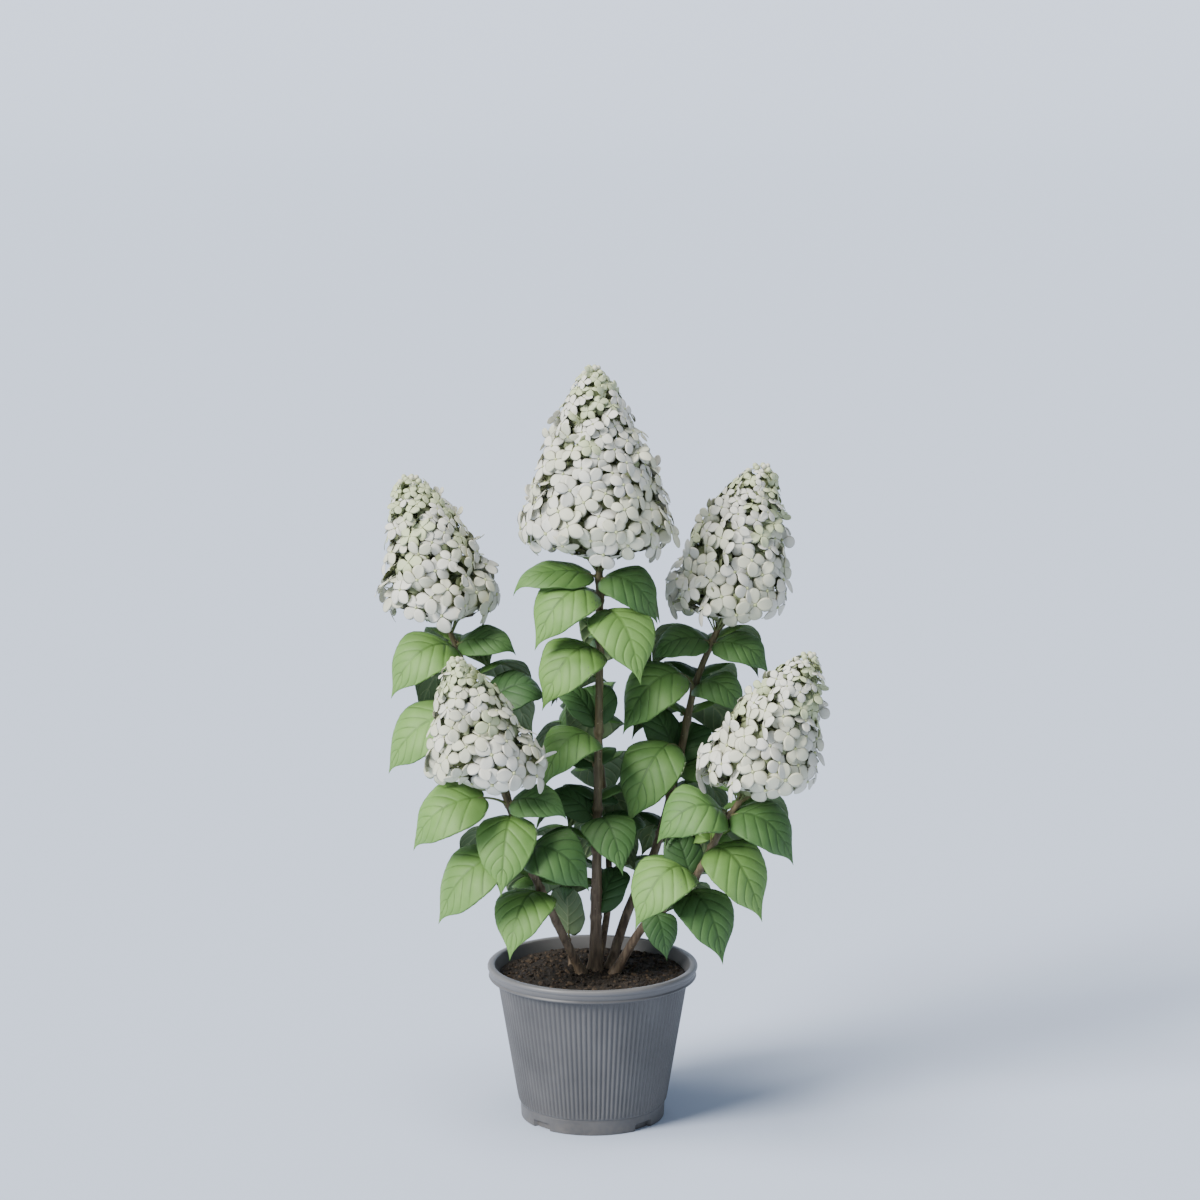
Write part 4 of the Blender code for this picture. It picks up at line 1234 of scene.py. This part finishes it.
def pot_outline():
    """Rows of radius, height and share of the ribs, from below to inside."""
    rows = [(MIDDLE_RADIUS, 0.0, 0), (FOOT_RADIUS - NOTCH_DEPTH - UNDER_NOTCH, 0.0, 0)]
    rows.append((FOOT_RADIUS - 2 * EDGE_ROUND, 0.0, 0))
    for a in np.linspace(0, math.pi / 2, 5):
        rows.append((FOOT_RADIUS - EDGE_ROUND * (1 - math.sin(a)), EDGE_ROUND * (1 - math.cos(a)), 0))
    rows += [(FOOT_RADIUS + FOOT_FLARE * z / FOOT_HEIGHT, z, 0) for z in FOOT_ROWS]
    rows += corner_rows(FOOT_RADIUS, FOOT_HEIGHT, FOOT_TOP)
    rows += corner_rows(WALL_FOOT_RADIUS, FOOT_HEIGHT, WALL_FOOT)
    rows += corner_rows(WALL_FOOT_RADIUS, FOOT_HEIGHT, [(4, 40)], 1)
    for share in np.linspace(0.08, 0.94, 7):
        radius = WALL_FOOT_RADIUS + share * (WALL_TOP_RADIUS - WALL_FOOT_RADIUS)
        rows.append((radius, FOOT_HEIGHT + share * (WALL_TOP - FOOT_HEIGHT), 1))
    rows += corner_rows(WALL_TOP_RADIUS, WALL_TOP, [(-8, -45)], 1)
    rows += corner_rows(WALL_TOP_RADIUS, WALL_TOP, WALL_END)
    rows += corner_rows(RIM_RADIUS, WALL_TOP, BEAD)
    rows += corner_rows(RIM_RADIUS, POT_HEIGHT, BAND)
    rows += corner_rows(RIM_RADIUS - LIP_WIDTH, POT_HEIGHT, LIP)
    rows += corner_rows(pot_inner_radius(WALL_TOP), WALL_TOP, [(-2, 0)])
    rows += [(pot_inner_radius(z), z, 0) for z in (HOLLOW_ROW, FLOOR_THICKNESS)]
    rows.append((MIDDLE_RADIUS, FLOOR_THICKNESS, 0))
    return np.array(rows)


def build_pot():
    """The pot as one turned skin, with ribs and four notches in its foot."""
    outline = pot_outline()
    angles = all_round(RIBS * RIB_STEPS)
    rib = RIB_DEPTH * (np.abs(np.cos(0.5 * RIBS * angles)) - 0.5)
    radius = outline[:, 0:1] + outline[:, 2:3] * rib
    height = np.broadcast_to(outline[:, 1:2], radius.shape)
    from_notch = np.abs(angles % (math.pi / 2) - math.pi / 4) * FOOT_RADIUS
    past_top = np.clip(from_notch - NOTCH_WIDTH / 2 + NOTCH_CORNER, 0, NOTCH_CORNER)
    notch_top = NOTCH_HEIGHT - NOTCH_CORNER + np.sqrt(np.maximum(NOTCH_CORNER ** 2 - past_top ** 2, 0))
    notch_floor = FOOT_RADIUS - NOTCH_DEPTH
    cut = (from_notch < NOTCH_WIDTH / 2) & (height < notch_top) & (radius > notch_floor)
    radius = np.where(cut, notch_floor, radius)
    points = np.stack([radius * np.cos(angles), radius * np.sin(angles), height], -1)
    heap = Heap()
    heap.add_rings(points.reshape(-1, 3), len(angles), 0)
    heap.piece("ribbed_pot", [pot_material()], ["pot"])


def surface_height(x, y):
    """The compost's uneven top."""
    r = np.hypot(x, y)
    dip = SOIL_DIP * np.clip((r - SOIL_FLAT_RADIUS) / 0.05, 0, 1) * 0.65
    waves = 0.0011 * np.sin(55 * x + 31 * y + 1.3) + 0.0009 * np.sin(-38 * x + 66 * y + 0.4)
    waves += 0.0006 * np.sin(120 * x + 95 * y) * np.sin(88 * x - 130 * y + 2.0)
    return SOIL_Z - 0.0008 - dip + waves * np.clip(r / 0.03, 0.4, 1)


def build_compost(looks):
    """A lumpy disc that fills the pot, with loose crumbs on it."""
    rng = np.random.default_rng(SEED + 20)
    low = FLOOR_THICKNESS + 0.0003
    edge = pot_inner_radius(SOIL_Z) - COMPOST_GAP
    angles = all_round(COMPOST_SIDES)
    rings = edge * np.linspace(0.995, 0.01, COMPOST_RINGS)
    radii = np.concatenate([[pot_inner_radius(low) - COMPOST_GAP, edge], rings])[:, None]
    x = radii * np.cos(angles)
    y = radii * np.sin(angles)
    z = surface_height(x, y) + COMPOST_LUMPS * rng.normal(size=x.shape)
    z[0] = low
    z[1] -= BELOW_EDGE
    body = Heap()
    body.add_rings(np.stack([x, y, z], -1).reshape(-1, 3), COMPOST_SIDES, 0)
    body.piece("compost_body", looks, ["compost"])
    crumbs = Heap()
    for _ in range(CRUMBS):
        r = (edge - 0.004) * math.sqrt(rng.uniform())
        place = r * outward(rng.uniform(0, 2 * math.pi))
        size = 0.0011 + 0.0024 * rng.uniform() ** 3
        squash = np.array([rng.uniform(0.7, 1.8), rng.uniform(0.6, 1.1), rng.uniform(0.4, 0.9)])
        place[2] = surface_height(place[0], place[1]) + 0.25 * size
        normal = UP + 0.5 * rng.normal(size=3)
        rough = BALL[0] * (1 + 0.22 * rng.uniform(-1, 1, (len(BALL[0]), 1)))
        axes = basis(normal, rng.uniform(0, ANY_TURN))
        crumbs.add_ball((rough, BALL[1]), place, size, axes, int(rng.uniform() < CHIP_SHARE), squash)
    made = crumbs.piece("compost_crumbs", looks, ["compost"])
    made.data.shade_flat()


# Surroundings

FLOOR_LOOK = {"Base Color": (0.585, 0.655, 0.79), "Roughness": 0.95, "Specular IOR Level": 0.05}
FLOOR_REACH = 60.0
SWEEP_START = 30.0
SWEEP_RADIUS = 30.0
SKY = {"Color": (0.72, 0.83, 1.0, 1.0), "Strength": 0.40}
SUN_COLOR = (1.0, 0.985, 0.96)

# Each sun: strength, breadth, how far it leans from straight above, how far to the left
SUNS = {"high_sun": (2.55, 34, 14, 62), "low_sun": (4.9, 24, 59, 54)}


def build_stage():
    """A pale floor that sweeps up behind."""
    skin = Skin("pale_floor")
    for name, value in FLOOR_LOOK.items():
        skin.shade(name, value)
    line = [(-FLOOR_REACH, 0.0), (SWEEP_START, 0.0)]
    for a in np.linspace(0.05, math.pi / 2, 24):
        line.append((SWEEP_START + SWEEP_RADIUS * math.sin(a), SWEEP_RADIUS - SWEEP_RADIUS * math.cos(a)))
    points = [(x, y, z) for y, z in line for x in (-FLOOR_REACH, FLOOR_REACH)]
    mesh = bpy.data.meshes.new("floor")
    mesh.from_pydata(points, [], grid_quads(len(line), 2).tolist())
    mesh.shade_smooth()
    mesh.materials.append(skin.made)
    floor = link("floor", mesh)


def build_lights():
    """Soft daylight: an even sky and two broad suns from the left."""
    world = bpy.data.worlds.new("sky")
    world.use_nodes = True
    for name, value in SKY.items():
        world.node_tree.nodes["Background"].inputs[name].default_value = value
    SCENE.world = world
    for name, (strength, breadth, lean, to_left) in SUNS.items():
        data = bpy.data.lights.new(name, "SUN")
        data.energy = strength
        data.angle = math.radians(breadth)
        data.color = SUN_COLOR
        sun = link(name, data)
        sun.rotation_euler = (math.radians(lean), 0.0, math.radians(-to_left))


def main():
    canes = {name: Cane(*row) for name, row in CANES.items()}
    blooms = {name: Bloom(*row) for name, row in BLOOMS.items()}
    placed = place_leaves(canes, blooms)
    build_leaves(placed)
    build_canes(canes, placed)
    for name, bloom in blooms.items():
        build_bloom(name, bloom, canes[name])
    build_pot()
    build_compost([
        compost_material("compost_dark", (0.014, 0.010, 0.007), (0.040, 0.028, 0.018)),
        compost_material("compost_chip", (0.045, 0.030, 0.018), (0.095, 0.064, 0.038)),
    ])
    build_stage()
    build_lights()


main()
